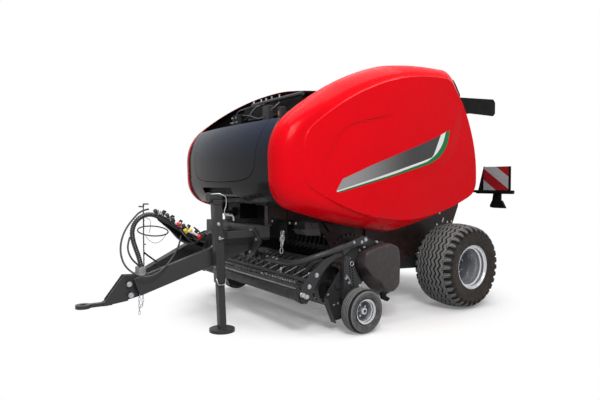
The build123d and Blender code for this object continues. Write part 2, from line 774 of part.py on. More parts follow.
# ---- top bay and gearbox -----------------------------------------------------------------------------
valve_block = block(2095, 2185, -180, 0, 1995, 2110)
bay_deck = block(1960, 2160, -chamber_half_width + seat_gap, chamber_half_width - seat_gap, 1960, 1995)
bay_bar = rod_y(1850, 2100, 22.0, -chamber_half_width + seat_gap, chamber_half_width - seat_gap)
keep("bay_equipment", joined(bay_deck, valve_block), bay_bar)
gear_case = block(2060, beam_front_x - 40, -130, 130, 1020, tie_low_z)
input_shaft = rod_between((beam_front_x - 41, 0, input_z), (beam_front_x + 90, 0, input_z), input_radius)
input_collar = rod_between((beam_front_x - 41, 0, input_z), (beam_front_x, 0, input_z), 48)
keep("gearbox", joined(gear_case, input_collar, input_shaft))

# ---- feed channel and rotor --------------------------------------------------------------------------
channel_gap = 20.0
channel_wall = 6.0
centre = (rotor_x, rotor_z)
channel_outer = CenterArc(centre, rotor_radius + channel_gap + channel_wall, 195, 130)
channel_inner = CenterArc(centre, rotor_radius + channel_gap, 195, 130)
channel_ends = [Line(channel_outer @ 0, channel_inner @ 0), Line(channel_outer @ 1, channel_inner @ 1)]
channel_half = chamber_half_width - seat_gap
keep("feed_channel", slab(make_face(Curve() + [channel_outer, channel_inner, *channel_ends]),
                          -channel_half, channel_half))

star_corners = 4
star_points = []
for i in range(star_corners):
    base = 360.0 / star_corners * i
    for radius, turn in ((rotor_radius, 0.0), (rotor_radius * 0.62, 14.0),
                         (rotor_tube_radius * 0.9, 55.0)):
        angle = math.radians(base + turn)
        star_points.append((rotor_x + radius * math.cos(angle), rotor_z + radius * math.sin(angle)))
rotor_half = chamber_half_width - 12.0
rotor = rod_y(rotor_x, rotor_z, rotor_tube_radius, -rotor_half, rotor_half)
star_pitch = (2 * rotor_half - 60.0) / (rotor_star_count - 1)
for i in range(rotor_star_count):
    y = -rotor_half + 30 + i * star_pitch
    rotor = rotor + plate(star_points, y - rotor_tine_plate / 2, y + rotor_tine_plate / 2)
rotor_bore = rod_y(rotor_x, rotor_z, rotor_spigot_radius + running_fit, rotor_half - 40, rotor_half + 10)
keep("feed_rotor", rotor - rotor_bore - mirrored(rotor_bore))

# ---- pick-up -----------------------------------------------------------------------------------------
side_outline = [
    (1130, 800), (1270, 815), (1440, 880), (1480, 800), (1700, 640), (1905, 560), (1950, 420), (1880, 240),
    (1700, 190), (1560, 230), (1420, 420), (1160, 680),
]
plate_out = pickup_half_width + pickup_plate
pick_side = plate(side_outline, pickup_half_width, plate_out)
pick_side = pick_side - rod_y(pickup_pivot_x, pickup_pivot_z, pickup_pivot_radius + running_fit, 900, 1200)
guard_pin = rod_y(guard_pivot_x, guard_pivot_z, guard_pin_radius, plate_out - 1,
                  guard_arm_y + guard_arm_plate + 8)
pick_side = pick_side + guard_pin
pivot_tube_x, pivot_tube_z = 1475.0, 330.0
cross_tube = rod_y(pivot_tube_x, pivot_tube_z, 35.0, -pickup_half_width - 1, pickup_half_width + 1)
shaft_boss = rod_y(reel_x, reel_z, reel_pin_radius, reel_half - 40, plate_out + 10)
gauge_block = block(1610, 1700, plate_out - 1, 1101, 300, 460)
pick_half = joined(pick_side, shaft_boss, gauge_block)
keep("pickup_frame", joined(pick_half, mirrored(pick_half), cross_tube))

band_span = (band_count - 1) * band_pitch


def stripper_band(y):
    """One U-shaped band round the reel, open to the rear."""
    centre = (reel_x, reel_z)
    outer = CenterArc(centre, band_radius + band_thickness, -120, 240)
    inner = CenterArc(centre, band_radius, -120, 240)
    joints = [Line(outer @ 0, inner @ 0), Line(outer @ 1, inner @ 1)]
    return slab(make_face(Curve() + [outer, inner, *joints]), y - band_width / 2, y + band_width / 2)


rail_angle = math.radians(116)
rail_places = [
    (reel_x + (band_radius + 8) * math.cos(rail_angle),
     reel_z + sign * (band_radius + 8) * math.sin(rail_angle))
    for sign in (1, -1)
]
rail_half = pickup_half_width - seat_gap
band_set = [stripper_band(-band_span / 2 + i * band_pitch) for i in range(band_count)]
rails = [block(x - 18, x + 18, -rail_half, rail_half, z - 7, z + 7) for x, z in rail_places]
keep("stripper_bands", joined(*rails, *band_set))

reel = rod_y(reel_x, reel_z, reel_shaft_radius, -reel_half, reel_half)
reel_bore = rod_y(reel_x, reel_z, reel_pin_radius + running_fit, reel_half - 60, reel_half + 1)
reel = reel - reel_bore - mirrored(reel_bore)
bar_angles = [45 + 90 * i for i in range(4)]
disc_ys = [-reel_half + 80, -reel_half / 3, reel_half / 3, reel_half - 80]
for y in disc_ys:
    reel = reel + rod_y(reel_x, reel_z, reel_bar_orbit + reel_bar_radius + 5, y - 4, y + 4)
for angle in bar_angles:
    bx = reel_x + reel_bar_orbit * math.cos(math.radians(angle))
    bz = reel_z + reel_bar_orbit * math.sin(math.radians(angle))
    reel = reel + rod_y(bx, bz, reel_bar_radius, -reel_half + 70, reel_half - 70)
keep("pickup_reel", reel)

cover_low_y = plate_out + 50.0
cover_high_y = cover_low_y + 85.0
boot = [(1480, 700), (1420, 775), (1200, 800), (1080, 780), (1030, 700), (1030, 380), (1090, 320),
        (1180, 350), (1230, 480), (1330, 560), (1440, 600)]
drive_cover = plate(boot, cover_low_y, cover_high_y)
cover_stay = block(1290, 1350, plate_out, cover_low_y, 640, 700)
keep("drive_covers", both(joined(drive_cover, cover_stay)))

gauge_arm_plate = 14.0
gauge_arm_outline = [(1570, 170), (1640, 165), (1780, 420), (1780, 640), (1720, 665), (1620, 640),
                     (1600, 420)]
gauge_arm = plate(gauge_arm_outline, 1101, 1101 + gauge_arm_plate)
gauge_pin = rod_y(gauge_x, gauge_radius, gauge_pin_radius, 1101, gauge_middle_y + 40)
gauge_boss = rod_y(gauge_x, gauge_radius, 30.0, 1101, 1101 + gauge_arm_plate + 40)
keep("gauge_arms", both(joined(gauge_arm, gauge_pin, gauge_boss)))

# ---- windguard ---------------------------------------------------------------------------------------
guard_outline = [
    (1390, 800), (1390, 880), (1480, 885), (1660, 790), (1990, 590), (2100, 490), (2205, 410), (2205, 330),
    (2130, 300), (2080, 330), (2060, 440), (1940, 520), (1620, 715),
]
guard_out = guard_arm_y + guard_arm_plate
guard_side = plate(guard_outline, guard_arm_y, guard_out)
guard_side = guard_side - rod_y(guard_pivot_x, guard_pivot_z, guard_pin_radius + running_fit, 1000, 1200)
guard_side = guard_side + rod_y(crop_roller_x, crop_roller_z, 18.0, 1030, guard_arm_y + 1)
bow_path = FilletPolyline(
    (1560, guard_arm_y + 5, 815), (bow_x, bow_half_width + 60, bow_z), (bow_x, -bow_half_width - 60,
            bow_z),
    (1560, -guard_arm_y - 5, 815), radius=150,
)
bow = sweep(Plane(origin=bow_path @ 0, z_dir=bow_path % 0) * Circle(bow_radius), path=bow_path)
guard_rail = block(2030, 2062, -guard_arm_y, guard_arm_y, 480, 510)
guard_bar = rod_y(2085, 455, 14.0, -guard_arm_y - 1, guard_arm_y + 1)
keep("windguard_frame", joined(guard_side, mirrored(guard_side), bow, guard_rail, guard_bar))
crop_half = 1030.0 - 6.0
crop = rod_y(crop_roller_x, crop_roller_z, crop_roller_radius, -crop_half - 30, crop_half + 30)
for s in (-1, 1):
    crop = crop - rod_y(crop_roller_x, crop_roller_z, 18.0 + running_fit, s * crop_half - 40,
                        s * crop_half + 40)
keep("crop_roller", crop)

# ---- hose stand, coupler rack, parking block ---------------------------------------------------------
stand_x, stand_y = 3112.0, -100.0
stand_top_z = 1190.0
stand_ring_z = 944.0
both_beams = drawbar_beam + mirrored(drawbar_beam)
stand_foot = block(stand_x - 12, stand_x + 38, stand_y - 50, stand_y + 2, 560, 606) - both_beams
stand_rod = rod_between((stand_x, stand_y, 600), (stand_x, stand_y, stand_top_z), 8)
hook_z = stand_top_z - 4
stand_hook = rod_between((stand_x - 50, stand_y, hook_z), (stand_x + 2, stand_y, hook_z), 6)
stand_clip = block(stand_x - 10, stand_x + 30, stand_y - 12, stand_y + 20, 1122, 1147)
stand_saddle = block(stand_x - 22, stand_x + 22, stand_y - 6, stand_y + 66, 1043, 1049)
stand_strut = rod_between((stand_x, stand_y, 760), (stand_x - 72, stand_y - 40, 615), 7) - both_beams
stand_ring = Pos(stand_x + 12, stand_y + 90, stand_ring_z) * Rot(0, -8, 0) * Torus(145, 6)
ring_stay = rod_between((stand_x, stand_y, 942), (stand_x, stand_y - 54.5, 942), 5)
stand = joined(stand_foot, stand_rod, stand_hook, stand_clip, stand_saddle, stand_strut, stand_ring,
               ring_stay)
keep("hose_stand", stand)

parking_block = block(3202, 3292, -95, 95, 520, 598) - both_beams - tongue
keep("parking_block", parking_block)

rack_low = (2600.0, 60.0, 790.0)
rack_high = (3090.0, 60.0, 1085.0)
rack_bar = box_between(rack_low, rack_high, 44.0, 8.0)
rack_leg = block(2600, 2640, 40, 80, 660, 800)
rack_strap = block(2600, 2640, -285, 285, 652, 662) - both_beams
couplers = []
rack_direction = Vector(*rack_high) - Vector(*rack_low)
rack_normal = Vector(-rack_direction.Z, 0, rack_direction.X).normalized()
coupler_count = 6
for i in range(coupler_count):
    seat = Vector(*rack_low) + rack_direction * ((i + 0.7) / coupler_count)
    couplers.append(extrude(Plane(origin=seat, z_dir=rack_normal) * Circle(17), 62))
keep("coupler_rack", joined(rack_bar, rack_leg, rack_strap, *couplers))

# ---- hoses -------------------------------------------------------------------------------------------
# Each route is a list of (x, y, z) points, joined by straight runs with an arc at each corner.
bend_share = 0.45
conduit_route = [
    (2334, -55, 900), (2450, -55, 892), (2560, -57, 850), (2662, -58, 795), (2770, -57, 792), (2856,
            -56, 848),
    (2920, -55, 926), (2984, -55, 996), (3052, -55, 1060), (3134, -56, 1090), (3218, -57, 1074), (3284,
            -58, 1018),
    (3314, -58, 936), (3306, -56, 848), (3280, -54, 764), (3252, -50, 682), (3232, -48, 594),
]
outer_hose_route = [
    (3142, -92, 1134), (3218, -72, 1126), (3300, -42, 1058), (3390, 0, 961), (3441, 30, 851), (3456, 66,
            740),
    (3430, 110, 632), (3356, 158, 560), (3262, 204, 528), (3158, 222, 560), (3060, 214, 640), (2978,
            180, 728),
    (2918, 132, 812), (2890, 98, 880),
]
inner_hose_route = [
    (3334, -52, 880), (3362, -36, 812), (3362, -12, 738), (3330, 8, 668), (3282, 16, 622), (3262, 18, 594),
]
hoses = [
    # name, route, radius
    ("conduit", conduit_route, 23.0),
    ("outer_hose", outer_hose_route, 8.5),
    ("inner_hose", inner_hose_route, 8.5),
]


def hose(route, radius):
    """A tube along a route, with each corner's arc as large as its two runs allow."""
    points = [Vector(*p) for p in route]
    radii = []
    for before, corner, after in zip(points, points[1:], points[2:]):
        turn = math.radians((corner - before).get_angle(after - corner))
        shorter = min((corner - before).length, (after - corner).length)
        radii.append(bend_share * shorter / math.tan(turn / 2))
    path = FilletPolyline(*points, radius=radii)
    tube = sweep(Plane(origin=path @ 0, z_dir=path % 0) * Circle(radius), path=path)
    return tube, path, radii


for name, route, radius in hoses:
    tube, path, radii = hose(route, radius)
    keep(name, tube)
    expected = math.pi * radius**2 * path.length
    print(f"{name}: length {path.length:.0f} mm, tightest bend {min(radii):.0f} mm,", end=" ")
    print(f"volume {tube.volume / expected:.4f} of section times length")
    print("  bends", *[round(value) for value in radii])

# ---- writing -----------------------------------------------------------------------------------------
os.makedirs("parts", exist_ok=True)
for name, solids in nodes.items():
    placed = [Pos(frame_x, 0, 0) * solid for solid in solids]
    export_step(Compound(children=placed) if len(placed) > 1 else placed[0], f"parts/{name}.step")
    print(name, len(placed))
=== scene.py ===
"""Round baler: finishes, moulded covers, tyres, hoses and small fittings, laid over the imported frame.

Lengths are metres. Places are written with x = 0 at the main axle and moved by AXLE_X into the row's frame.
Shapes are grids of points worked out with numpy and turned into closed meshes by make().
"""
import json
import math

import bmesh
import bpy
import numpy as np
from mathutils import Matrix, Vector

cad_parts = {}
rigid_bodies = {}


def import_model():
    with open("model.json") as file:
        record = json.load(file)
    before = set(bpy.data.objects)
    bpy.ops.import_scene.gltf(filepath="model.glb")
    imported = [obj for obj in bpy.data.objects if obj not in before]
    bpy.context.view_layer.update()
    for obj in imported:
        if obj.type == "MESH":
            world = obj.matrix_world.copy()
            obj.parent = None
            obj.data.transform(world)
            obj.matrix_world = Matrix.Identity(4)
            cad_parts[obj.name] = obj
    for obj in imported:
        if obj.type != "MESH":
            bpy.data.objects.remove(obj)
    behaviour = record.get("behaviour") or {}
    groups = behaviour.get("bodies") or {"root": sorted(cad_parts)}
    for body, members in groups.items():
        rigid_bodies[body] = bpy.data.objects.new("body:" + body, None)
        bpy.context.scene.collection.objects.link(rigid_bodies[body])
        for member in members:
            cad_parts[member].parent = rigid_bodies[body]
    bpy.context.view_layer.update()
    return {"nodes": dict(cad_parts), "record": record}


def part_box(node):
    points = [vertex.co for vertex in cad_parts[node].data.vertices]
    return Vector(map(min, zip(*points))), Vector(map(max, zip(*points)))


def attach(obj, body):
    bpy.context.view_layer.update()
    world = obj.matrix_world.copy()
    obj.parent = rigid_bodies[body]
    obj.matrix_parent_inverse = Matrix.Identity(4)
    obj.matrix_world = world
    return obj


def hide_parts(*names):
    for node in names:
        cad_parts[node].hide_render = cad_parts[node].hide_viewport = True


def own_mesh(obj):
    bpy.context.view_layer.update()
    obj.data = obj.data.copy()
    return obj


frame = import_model()
body_of_node = {node: body for body, nodes in frame["record"]["behaviour"]["bodies"].items()
                for node in nodes}
slot_of_node = {row["node"]: row["material_slot"] for row in frame["record"]["subparts"]}
AXLE_X = sum(corner.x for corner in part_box("main_tyre_left")) / 2
TAU = 2 * math.pi
SIDES = (("left", 1), ("right", -1))
WELD = 2e-5
SHARP = math.radians(32)
SLANT = (0.31, 0.2, 0.93)


# ---- point grids ----------------------------------------------------------------------------------------
def row(points):
    """Points written from the axle, as an array in the row's frame: x + AXLE_X, y, z."""
    points = np.array(points, float)
    return points + np.array([AXLE_X, 0.0, 0.0])


def unit(vectors):
    """Each vector divided by its length."""
    return vectors / np.maximum(np.linalg.norm(vectors, axis=-1, keepdims=True), 1e-9)


def resampled(path, count):
    """A path cut into count points at even steps of its length, by linear interpolation."""
    path = np.asarray(path, float)
    reach = np.r_[0, np.cumsum(np.linalg.norm(np.diff(path, axis=0), axis=1))]
    steps = np.linspace(0, reach[-1], count)
    return np.stack([np.interp(steps, reach, path[:, k]) for k in range(path.shape[1])], 1)


def eased(path, count, width):
    """An open path at count even steps, its corners rounded: each point is the Gaussian-weighted mean of its
    neighbours, the weights measured along the path, and mirrored past both ends so the ends stay put."""
    line = resampled(path, count)
    step = np.linalg.norm(np.diff(line, axis=0), axis=1).sum() / (count - 1)
    half = min(count - 1, max(1, int(3 * width / step)))
    weights = np.exp(-0.5 * (np.arange(-half, half + 1) * step / width) ** 2)
    weights /= weights.sum()
    longer = np.concatenate([2 * line[0] - line[half:0:-1], line, 2 * line[-1] - line[-2:-half - 2:-1]])
    return np.stack([np.convolve(longer[:, k], weights, "valid") for k in range(line.shape[1])], 1)


def loop_eased(points, width):
    """A closed loop of evenly meant points, rounded by damping its Fourier terms as exp(-(2 pi k width)^2 /
    2), width being a share of the loop."""
    k = np.fft.fftfreq(len(points)) * len(points)
    damp = np.exp(-0.5 * (TAU * k * width) ** 2)
    return np.real(np.fft.ifft(np.fft.fft(points, axis=0) * damp[:, None], axis=0))


def arc(a, through, b, count):
    """Count points from a up to but not including b, on the circle through the three."""
    a, m, b = (complex(*p) for p in (a, through, b))
    w = (m - a) / (b - a)
    centre = (b - a) * (w - abs(w) ** 2) / (2j * w.imag) + a
    turn = np.angle((b - centre) / (a - centre))
    half = np.angle((m - centre) / (a - centre))
    turn += TAU * (half > 0) * (turn < 0) - TAU * (half < 0) * (turn > 0)
    points = centre + (a - centre) * np.exp(1j * turn * np.arange(count) / count)
    return np.stack([points.real, points.imag], 1)


def tube(path, radius, sides=12, ref=(0, 1, 0)):
    """A round bar along a path: circles of the given radius about each point, square to the path's
    direction, their zero angle turned towards ref, and each end drawn in to a point."""
    path = np.asarray(path, float)
    along = unit(np.gradient(path, axis=0))
    across = unit(np.cross(along, np.array(ref, float)))
    up = np.cross(across, along)
    angle = np.linspace(0, TAU, sides, endpoint=False)
    radius = np.broadcast_to(radius, len(path))[:, None, None]
    ring = path[:, None] + radius * (np.cos(angle)[:, None] * across[:, None] + np.sin(angle)[:, None]
                                     * up[:, None])
    start = np.broadcast_to(path[0], (1, sides, 3))
    end = np.broadcast_to(path[-1], (1, sides, 3))
    return np.concatenate([start, ring, end]), False, True


def turned(profile, middle, sides=96, closed=False, axis=1):
    """A profile of (radius, distance) pairs swung about a line through middle along one axis: the next
    coordinate round is the radius times the angle's cosine, and the one after it times its sine."""
    profile = np.asarray(profile, float)
    angle = np.linspace(0, TAU, sides, endpoint=False)
    grid = np.zeros((len(profile), sides, 3))
    grid[..., (axis + 1) % 3] = profile[:, :1] * np.cos(angle)
    grid[..., (axis + 2) % 3] = profile[:, :1] * np.sin(angle)
    grid[..., axis] = profile[:, 1:]
    return grid + np.asarray(middle, float), closed, True


def plate(outline, a, b, edge=0.002, axis=1):
    """A star-shaped outline in the two other coordinates carried from a to b along one axis, its rim drawn
    in by edge at both faces, and each face closed at the outline's middle."""
    outline = np.asarray(outline, float)
    middle = outline.mean(0)
    inner = outline + unit(middle - outline) * edge
    flat = np.stack([np.broadcast_to(middle, outline.shape), inner, outline, outline, inner,
                     np.broadcast_to(middle, outline.shape)])
    level = np.array([a, a, a + edge, b - edge, b, b])
    others = [k for k in range(3) if k != axis]
    grid = np.zeros(flat.shape[:2] + (3,))
    grid[..., others[0]], grid[..., others[1]] = flat[..., 0], flat[..., 1]
    grid[..., axis] = level[:, None]
    return grid, False, True


def brick(low, high, edge=0.002):
    """A box between two corners with its long edges drawn in."""
    (x0, y0, z0), (x1, y1, z1) = low, high
    return plate(oblong(x0, z0, x1, z1), y0, y1, edge)


def facing(directions):
    """Three unit vectors for each direction, the last along it."""
    w = unit(np.atleast_2d(np.asarray(directions, float)))
    side = np.where(np.abs(w[:, 2:]) > 0.9, [[1.0, 0, 0]], [[0, 0, 1.0]])
    u = unit(np.cross(side, w))
    return np.stack([u, np.cross(w, u), w], 1)


def copies(shape, spots, directions):
    """A small grid, made standing on the origin along +Z, set down at each spot along its direction."""
    spots = np.atleast_2d(np.asarray(spots, float))
    frames = np.broadcast_to(facing(directions), (len(spots), 3, 3))
    return np.einsum("nmk,ckj->cnmj", shape, frames) + spots[:, None, None, :], False, True


def bolt(size):
    """A washer and a six-sided head: rings of six-fold or round radius, stacked upwards."""
    angle = np.linspace(0, TAU, 12, endpoint=False)
    hexed = 1 / np.cos((angle + TAU / 12) % (TAU / 6) - TAU / 12)
    rings = [(1.5, 0, 0), (1.5, 0.25, 0), (1.0, 0.25, 1), (1.0, 0.8, 1), (0.86, 0.95, 1), (0, 0.95, 0)]
    grid = np.zeros((len(rings), 12, 3))
    for k, (reach, height, six) in enumerate(rings):
        radius = size * reach * (hexed if six else 1.0)
        grid[k, :, 0], grid[k, :, 1] = radius * np.cos(angle), radius * np.sin(angle)
        grid[k, :, 2] = size * height
    return grid


def bolts(spots, direction, size=0.012):
    """Bolts of one size at several places, all along one direction."""
    return copies(bolt(size), spots, direction)


def chain(path, pitch, wire, width):
    """Oval links along a path, each turned a quarter from the last. A link is a ring of wire round a closed
    oval: half its pitch plus a wire long and half its width wide."""
    path = np.asarray(path, float)
    length = np.linalg.norm(np.diff(path, axis=0), axis=1).sum()
    count = max(2, int(length / pitch))
    spots = resampled(path, count + 1)
    middle = (spots[1:] + spots[:-1]) / 2
    frames = facing(spots[1:] - spots[:-1])
    turn = np.arange(count) % 2 * TAU / 4
    flat = np.cos(turn)[:, None] * frames[:, 0] + np.sin(turn)[:, None] * frames[:, 1]
    face = np.cross(frames[:, 2], flat)
    s = np.linspace(0, TAU, 12, endpoint=False)
    t = np.linspace(0, TAU, 6, endpoint=False)
    long, wide = pitch / 2 + wire, width / 2
    oval = np.stack([wide * np.sign(np.cos(s)) * np.abs(np.cos(s)) ** 0.7, long * np.sin(s)], 1)
    out = unit(np.stack([np.cos(s) / wide, np.sin(s) / long], 1))
    x = oval[:, None, 0] + wire * out[:, None, 0] * np.cos(t)
    z = oval[:, None, 1] + wire * out[:, None, 1] * np.cos(t)
    y = np.broadcast_to(wire * np.sin(t), x.shape)
    grid = (x[None, ..., None] * flat[:, None, None] + y[None, ..., None] * face[:, None, None]
            + z[None, ..., None] * frames[:, None, None, 2])
    return grid + middle[:, None, None], True, True


# ---- meshes ---------------------------------------------------------------------------------------------
def quads(count, n, m, wrap_u, wrap_v, base):
    """Corner numbers of the faces between neighbouring rows and columns of a grid, for each of its copies."""
    i = np.arange(n if wrap_u else n - 1)[:, None]
    j = np.arange(m if wrap_v else m - 1)[None]
    one = np.stack([i * m + j, i * m + (j + 1) % m, (i + 1) % n * m + (j + 1) % m, (i + 1) % n * m + j], -1)
    one = one.reshape(-1, 4)
    return (one[None] + (np.arange(count) * n * m)[:, None, None]).reshape(-1, 4) + base


def oblong(low_x, low_y, high_x, high_y):
    """The four corners of an upright rectangle, from two that face each other."""
    return [(low_x, low_y), (high_x, low_y), (high_x, high_y), (low_x, high_y)]


def mesh_from(name, grids):
    """One mesh of all the grids, its doubled points merged and its faces turned outwards."""
    points, faces, base = [], [], 0
    for grid, wrap_u, wrap_v in grids:
        grid = grid if grid.ndim == 4 else grid[None]
        count, n, m = grid.shape[:3]
        faces.append(quads(count, n, m, wrap_u, wrap_v, base))
        points.append(grid.reshape(-1, 3))
        base += count * n * m
    points, faces = np.concatenate(points), np.concatenate(faces)
    mesh = bpy.data.meshes.new(name)
    mesh.vertices.add(len(points))
    mesh.vertices.foreach_set("co", points.ravel())
    mesh.loops.add(faces.size)
    mesh.loops.foreach_set("vertex_index", faces.ravel())
    mesh.polygons.add(len(faces))
    mesh.polygons.foreach_set("loop_start", np.arange(0, faces.size, 4))
    mesh.update(calc_edges=True)
    work = bmesh.new()
    work.from_mesh(mesh)
    bmesh.ops.remove_doubles(work, verts=work.verts, dist=WELD)
    bmesh.ops.recalc_face_normals(work, faces=work.faces)
    work.to_mesh(mesh)
    work.free()
    return mesh


def placed(name, data, body, finish, nodes=(), slot=None):
    """A new object for a mesh or curve, with its finish, riding on a body and standing for CAD nodes. A
    slot, the finish's own unless one is given, is worked out but not put on the object."""
    piece = bpy.data.objects.new(name, data)
    bpy.context.scene.collection.objects.link(piece)
    data.materials.clear()
    data.materials.append(finish)
    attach(piece, body)
    slot = slot or slot_of_finish[finish.name]
    if nodes:
        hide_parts(*nodes)
    return piece


def make(name, grids, body, finish, nodes=(), smooth=40, slot=None):
    """A piece from grids, smooth but for edges sharper than the given angle in degrees."""
    mesh = mesh_from(name, grids)
    mesh.shade_smooth()
    mesh.set_sharp_from_angle(angle=math.radians(smooth))
    return placed(name, mesh, body, finish, nodes, slot)


def rounded_edges(piece, width, segments=2, angle=SHARP):
    """A live bevel on the edges sharper than an angle, its flat faces kept flat."""
    bevel = piece.modifiers.new("rounded", "BEVEL")
    bevel.width, bevel.segments = width, segments
    bevel.limit_method, bevel.angle_limit = "ANGLE", angle
    bevel.harden_normals = True
    bevel.use_clamp_overlap = True


def dressed(node, finish, bevel=0.003, holes=None):
    """A CAD node's shape with its triangles joined into faces, holes cut if asked, and its edges rounded."""
    mesh = frame["nodes"][node].data.copy()
    mesh.name = node + "_dressed"
    work = bmesh.new()
    work.from_mesh(mesh)
    bmesh.ops.remove_doubles(work, verts=work.verts, dist=WELD)
    bmesh.ops.dissolve_limit(work, angle_limit=math.radians(0.6), verts=work.verts, edges=work.edges)
    work.to_mesh(mesh)
    work.free()
    piece = placed(mesh.name, mesh, body_of_node[node], finish, [node], slot_of_node[node])
    if holes is not None:
        cut(piece, holes)
    piece.data.shade_smooth()
    piece.data.set_sharp_from_angle(angle=SHARP)
    if bevel:
        rounded_edges(piece, bevel)
    return piece


def cut(piece, grids):
    """Takes the grids' solid out of a piece, by a boolean that is applied at once."""
    tool = bpy.data.objects.new("cutting_tool", mesh_from("cutting_tool", grids))
    bpy.context.scene.collection.objects.link(tool)
    taking = piece.modifiers.new("cut", "BOOLEAN")
    taking.operation, taking.solver, taking.object = "DIFFERENCE", "MANIFOLD", tool
    bpy.context.view_layer.update()
    fresh = bpy.data.meshes.new_from_object(piece.evaluated_get(bpy.context.evaluated_depsgraph_get()))
    piece.modifiers.clear()
    piece.data = fresh
    bpy.data.objects.remove(tool)


# ---- finishes -------------------------------------------------------------------------------------------
slot_of_finish = {}


class Signal:
    """A socket in a finish. Its arithmetic is filled in below, and adds Math nodes."""

    def __init__(self, finish, socket):
        self.finish, self.socket = finish, socket


def arithmetic(operation, swapped):
    """A method of Signal that adds one Math node, with its values the other way round if swapped."""
    def method(self, *others):
        values = (*others, self) if swapped else (self, *others)
        return self.finish.node("ShaderNodeMath", {"operation": operation}, dict(enumerate(values)))
    return method


for name, operation in (("add", "ADD"), ("sub", "SUBTRACT"), ("mul", "MULTIPLY"), ("truediv", "DIVIDE"),
                        ("mod", "FLOORED_MODULO"), ("pow", "POWER"), ("abs", "ABSOLUTE"),
                        ("radd", "ADD"), ("rsub", "SUBTRACT"), ("rmul", "MULTIPLY")):
    setattr(Signal, f"__{name}__", arithmetic(operation, name.startswith("r")))


class Finish:
    """A material round one Principled shader, whose varying sockets are filled by signals."""

    def __init__(self, name, slot=None, metallic=0.0, roughness=0.5, coat=0.0, coat_roughness=0.1, ior=1.5):
        self.material = bpy.data.materials.new(name)
        slot_of_finish[self.material.name] = slot
        self.material.use_nodes = True
        self.tree = self.material.node_tree
        self.shader = next(n for n in self.tree.nodes if n.type == "BSDF_PRINCIPLED")
        uniform = {"Metallic": metallic, "Roughness": roughness, "Coat Weight": coat, "IOR": ior,
                   "Coat Roughness": coat_roughness}
        for socket, value in uniform.items():
            self.shader.inputs[socket].default_value = value
        place = self.node("ShaderNodeTexCoord", {}, {}, "Object")
        self.place = place
        split = self.node("ShaderNodeSeparateXYZ", {}, {"Vector": place}, None)
        self.x, self.y, self.z = (Signal(self, split.outputs[k]) for k in range(3))
        self.axle_x = self.x - AXLE_X

    def node(self, kind, settings, sockets, out=0):
        """A node of any kind: its settings first, then the values or links of its sockets."""
        made = self.tree.nodes.new(kind)
        for key, value in settings.items():
            setattr(made, key, value)
        for key, value in sockets.items():
            if isinstance(value, Signal):
                self.tree.links.new(value.socket, made.inputs[key])
            else:
                made.inputs[key].default_value = value
        return made if out is None else Signal(self, made.outputs[out])

    def noise(self, scale, detail=2.0, rough=0.5, stretch=None):
        """Noise on Object coordinates, at so many cells a metre, stretched by a vector if asked."""
        place = self.place
        if stretch:
            place = self.node("ShaderNodeVectorMath", {"operation": "MULTIPLY"}, {0: place, 1: stretch})
        return self.node("ShaderNodeTexNoise", {}, {"Vector": place, "Scale": scale, "Detail": detail,
                                                    "Roughness": rough})

    def cells(self, scale, out="Distance", feature="F1"):
        """Voronoi cells on Object coordinates."""
        return self.node("ShaderNodeTexVoronoi", {"feature": feature},
                         {"Vector": self.place, "Scale": scale}, out)

    def step(self, value, low, high, start=0.0, end=1.0):
        """A smooth rise from start to end as a value goes from low to high."""
        return self.node("ShaderNodeMapRange", {"interpolation_type": "SMOOTHSTEP"},
                         {"Value": value, "From Min": low, "From Max": high, "To Min": start, "To Max": end})

    def mix(self, share, first, second):
        """Two colours mixed by a share."""
        first = first if isinstance(first, Signal) else (*first, 1)
        second = second if isinstance(second, Signal) else (*second, 1)
        return self.node("ShaderNodeMix", {"data_type": "RGBA"}, {0: share, 6: first, 7: second}, 2)

    def from_line(self, x, y):
        """The distance from a line along Y or another axis: the root of the squares' sum."""
        return (x * x + y * y) ** 0.5

    def looking_in(self):
        """1 on faces turned towards the plane y = 0, from the normal's y times the sign of y."""
        normal = self.node("ShaderNodeNewGeometry", {}, {}, "Normal")
        turned_y = self.node("ShaderNodeSeparateXYZ", {}, {"Vector": normal}, 1)
        return self.step(turned_y * self.node("ShaderNodeMath", {"operation": "SIGN"}, {0: self.y}), -0.02,
                         -0.12)

    def bump(self, height, distance):
        """A height in shares of a distance in metres, as a changed normal."""
        return self.node("ShaderNodeBump", {}, {"Height": height, "Distance": distance, "Strength": 1.0},
                         "Normal")

    def done(self, colour=None, rough=None, normal=None, metallic=None):
        """Fills the shader's varying sockets and gives the material."""
        wanted = {"Base Color": colour, "Roughness": rough, "Normal": normal, "Metallic": metallic}
        for socket, value in wanted.items():
            if isinstance(value, Signal):
                self.tree.links.new(value.socket, self.shader.inputs[socket])
            elif value is not None:
                self.shader.inputs[socket].default_value = (*value, 1) if socket.endswith("Color") else value
        self.material.diffuse_color = (0.5, 0.5, 0.5, 1)
        return self.material


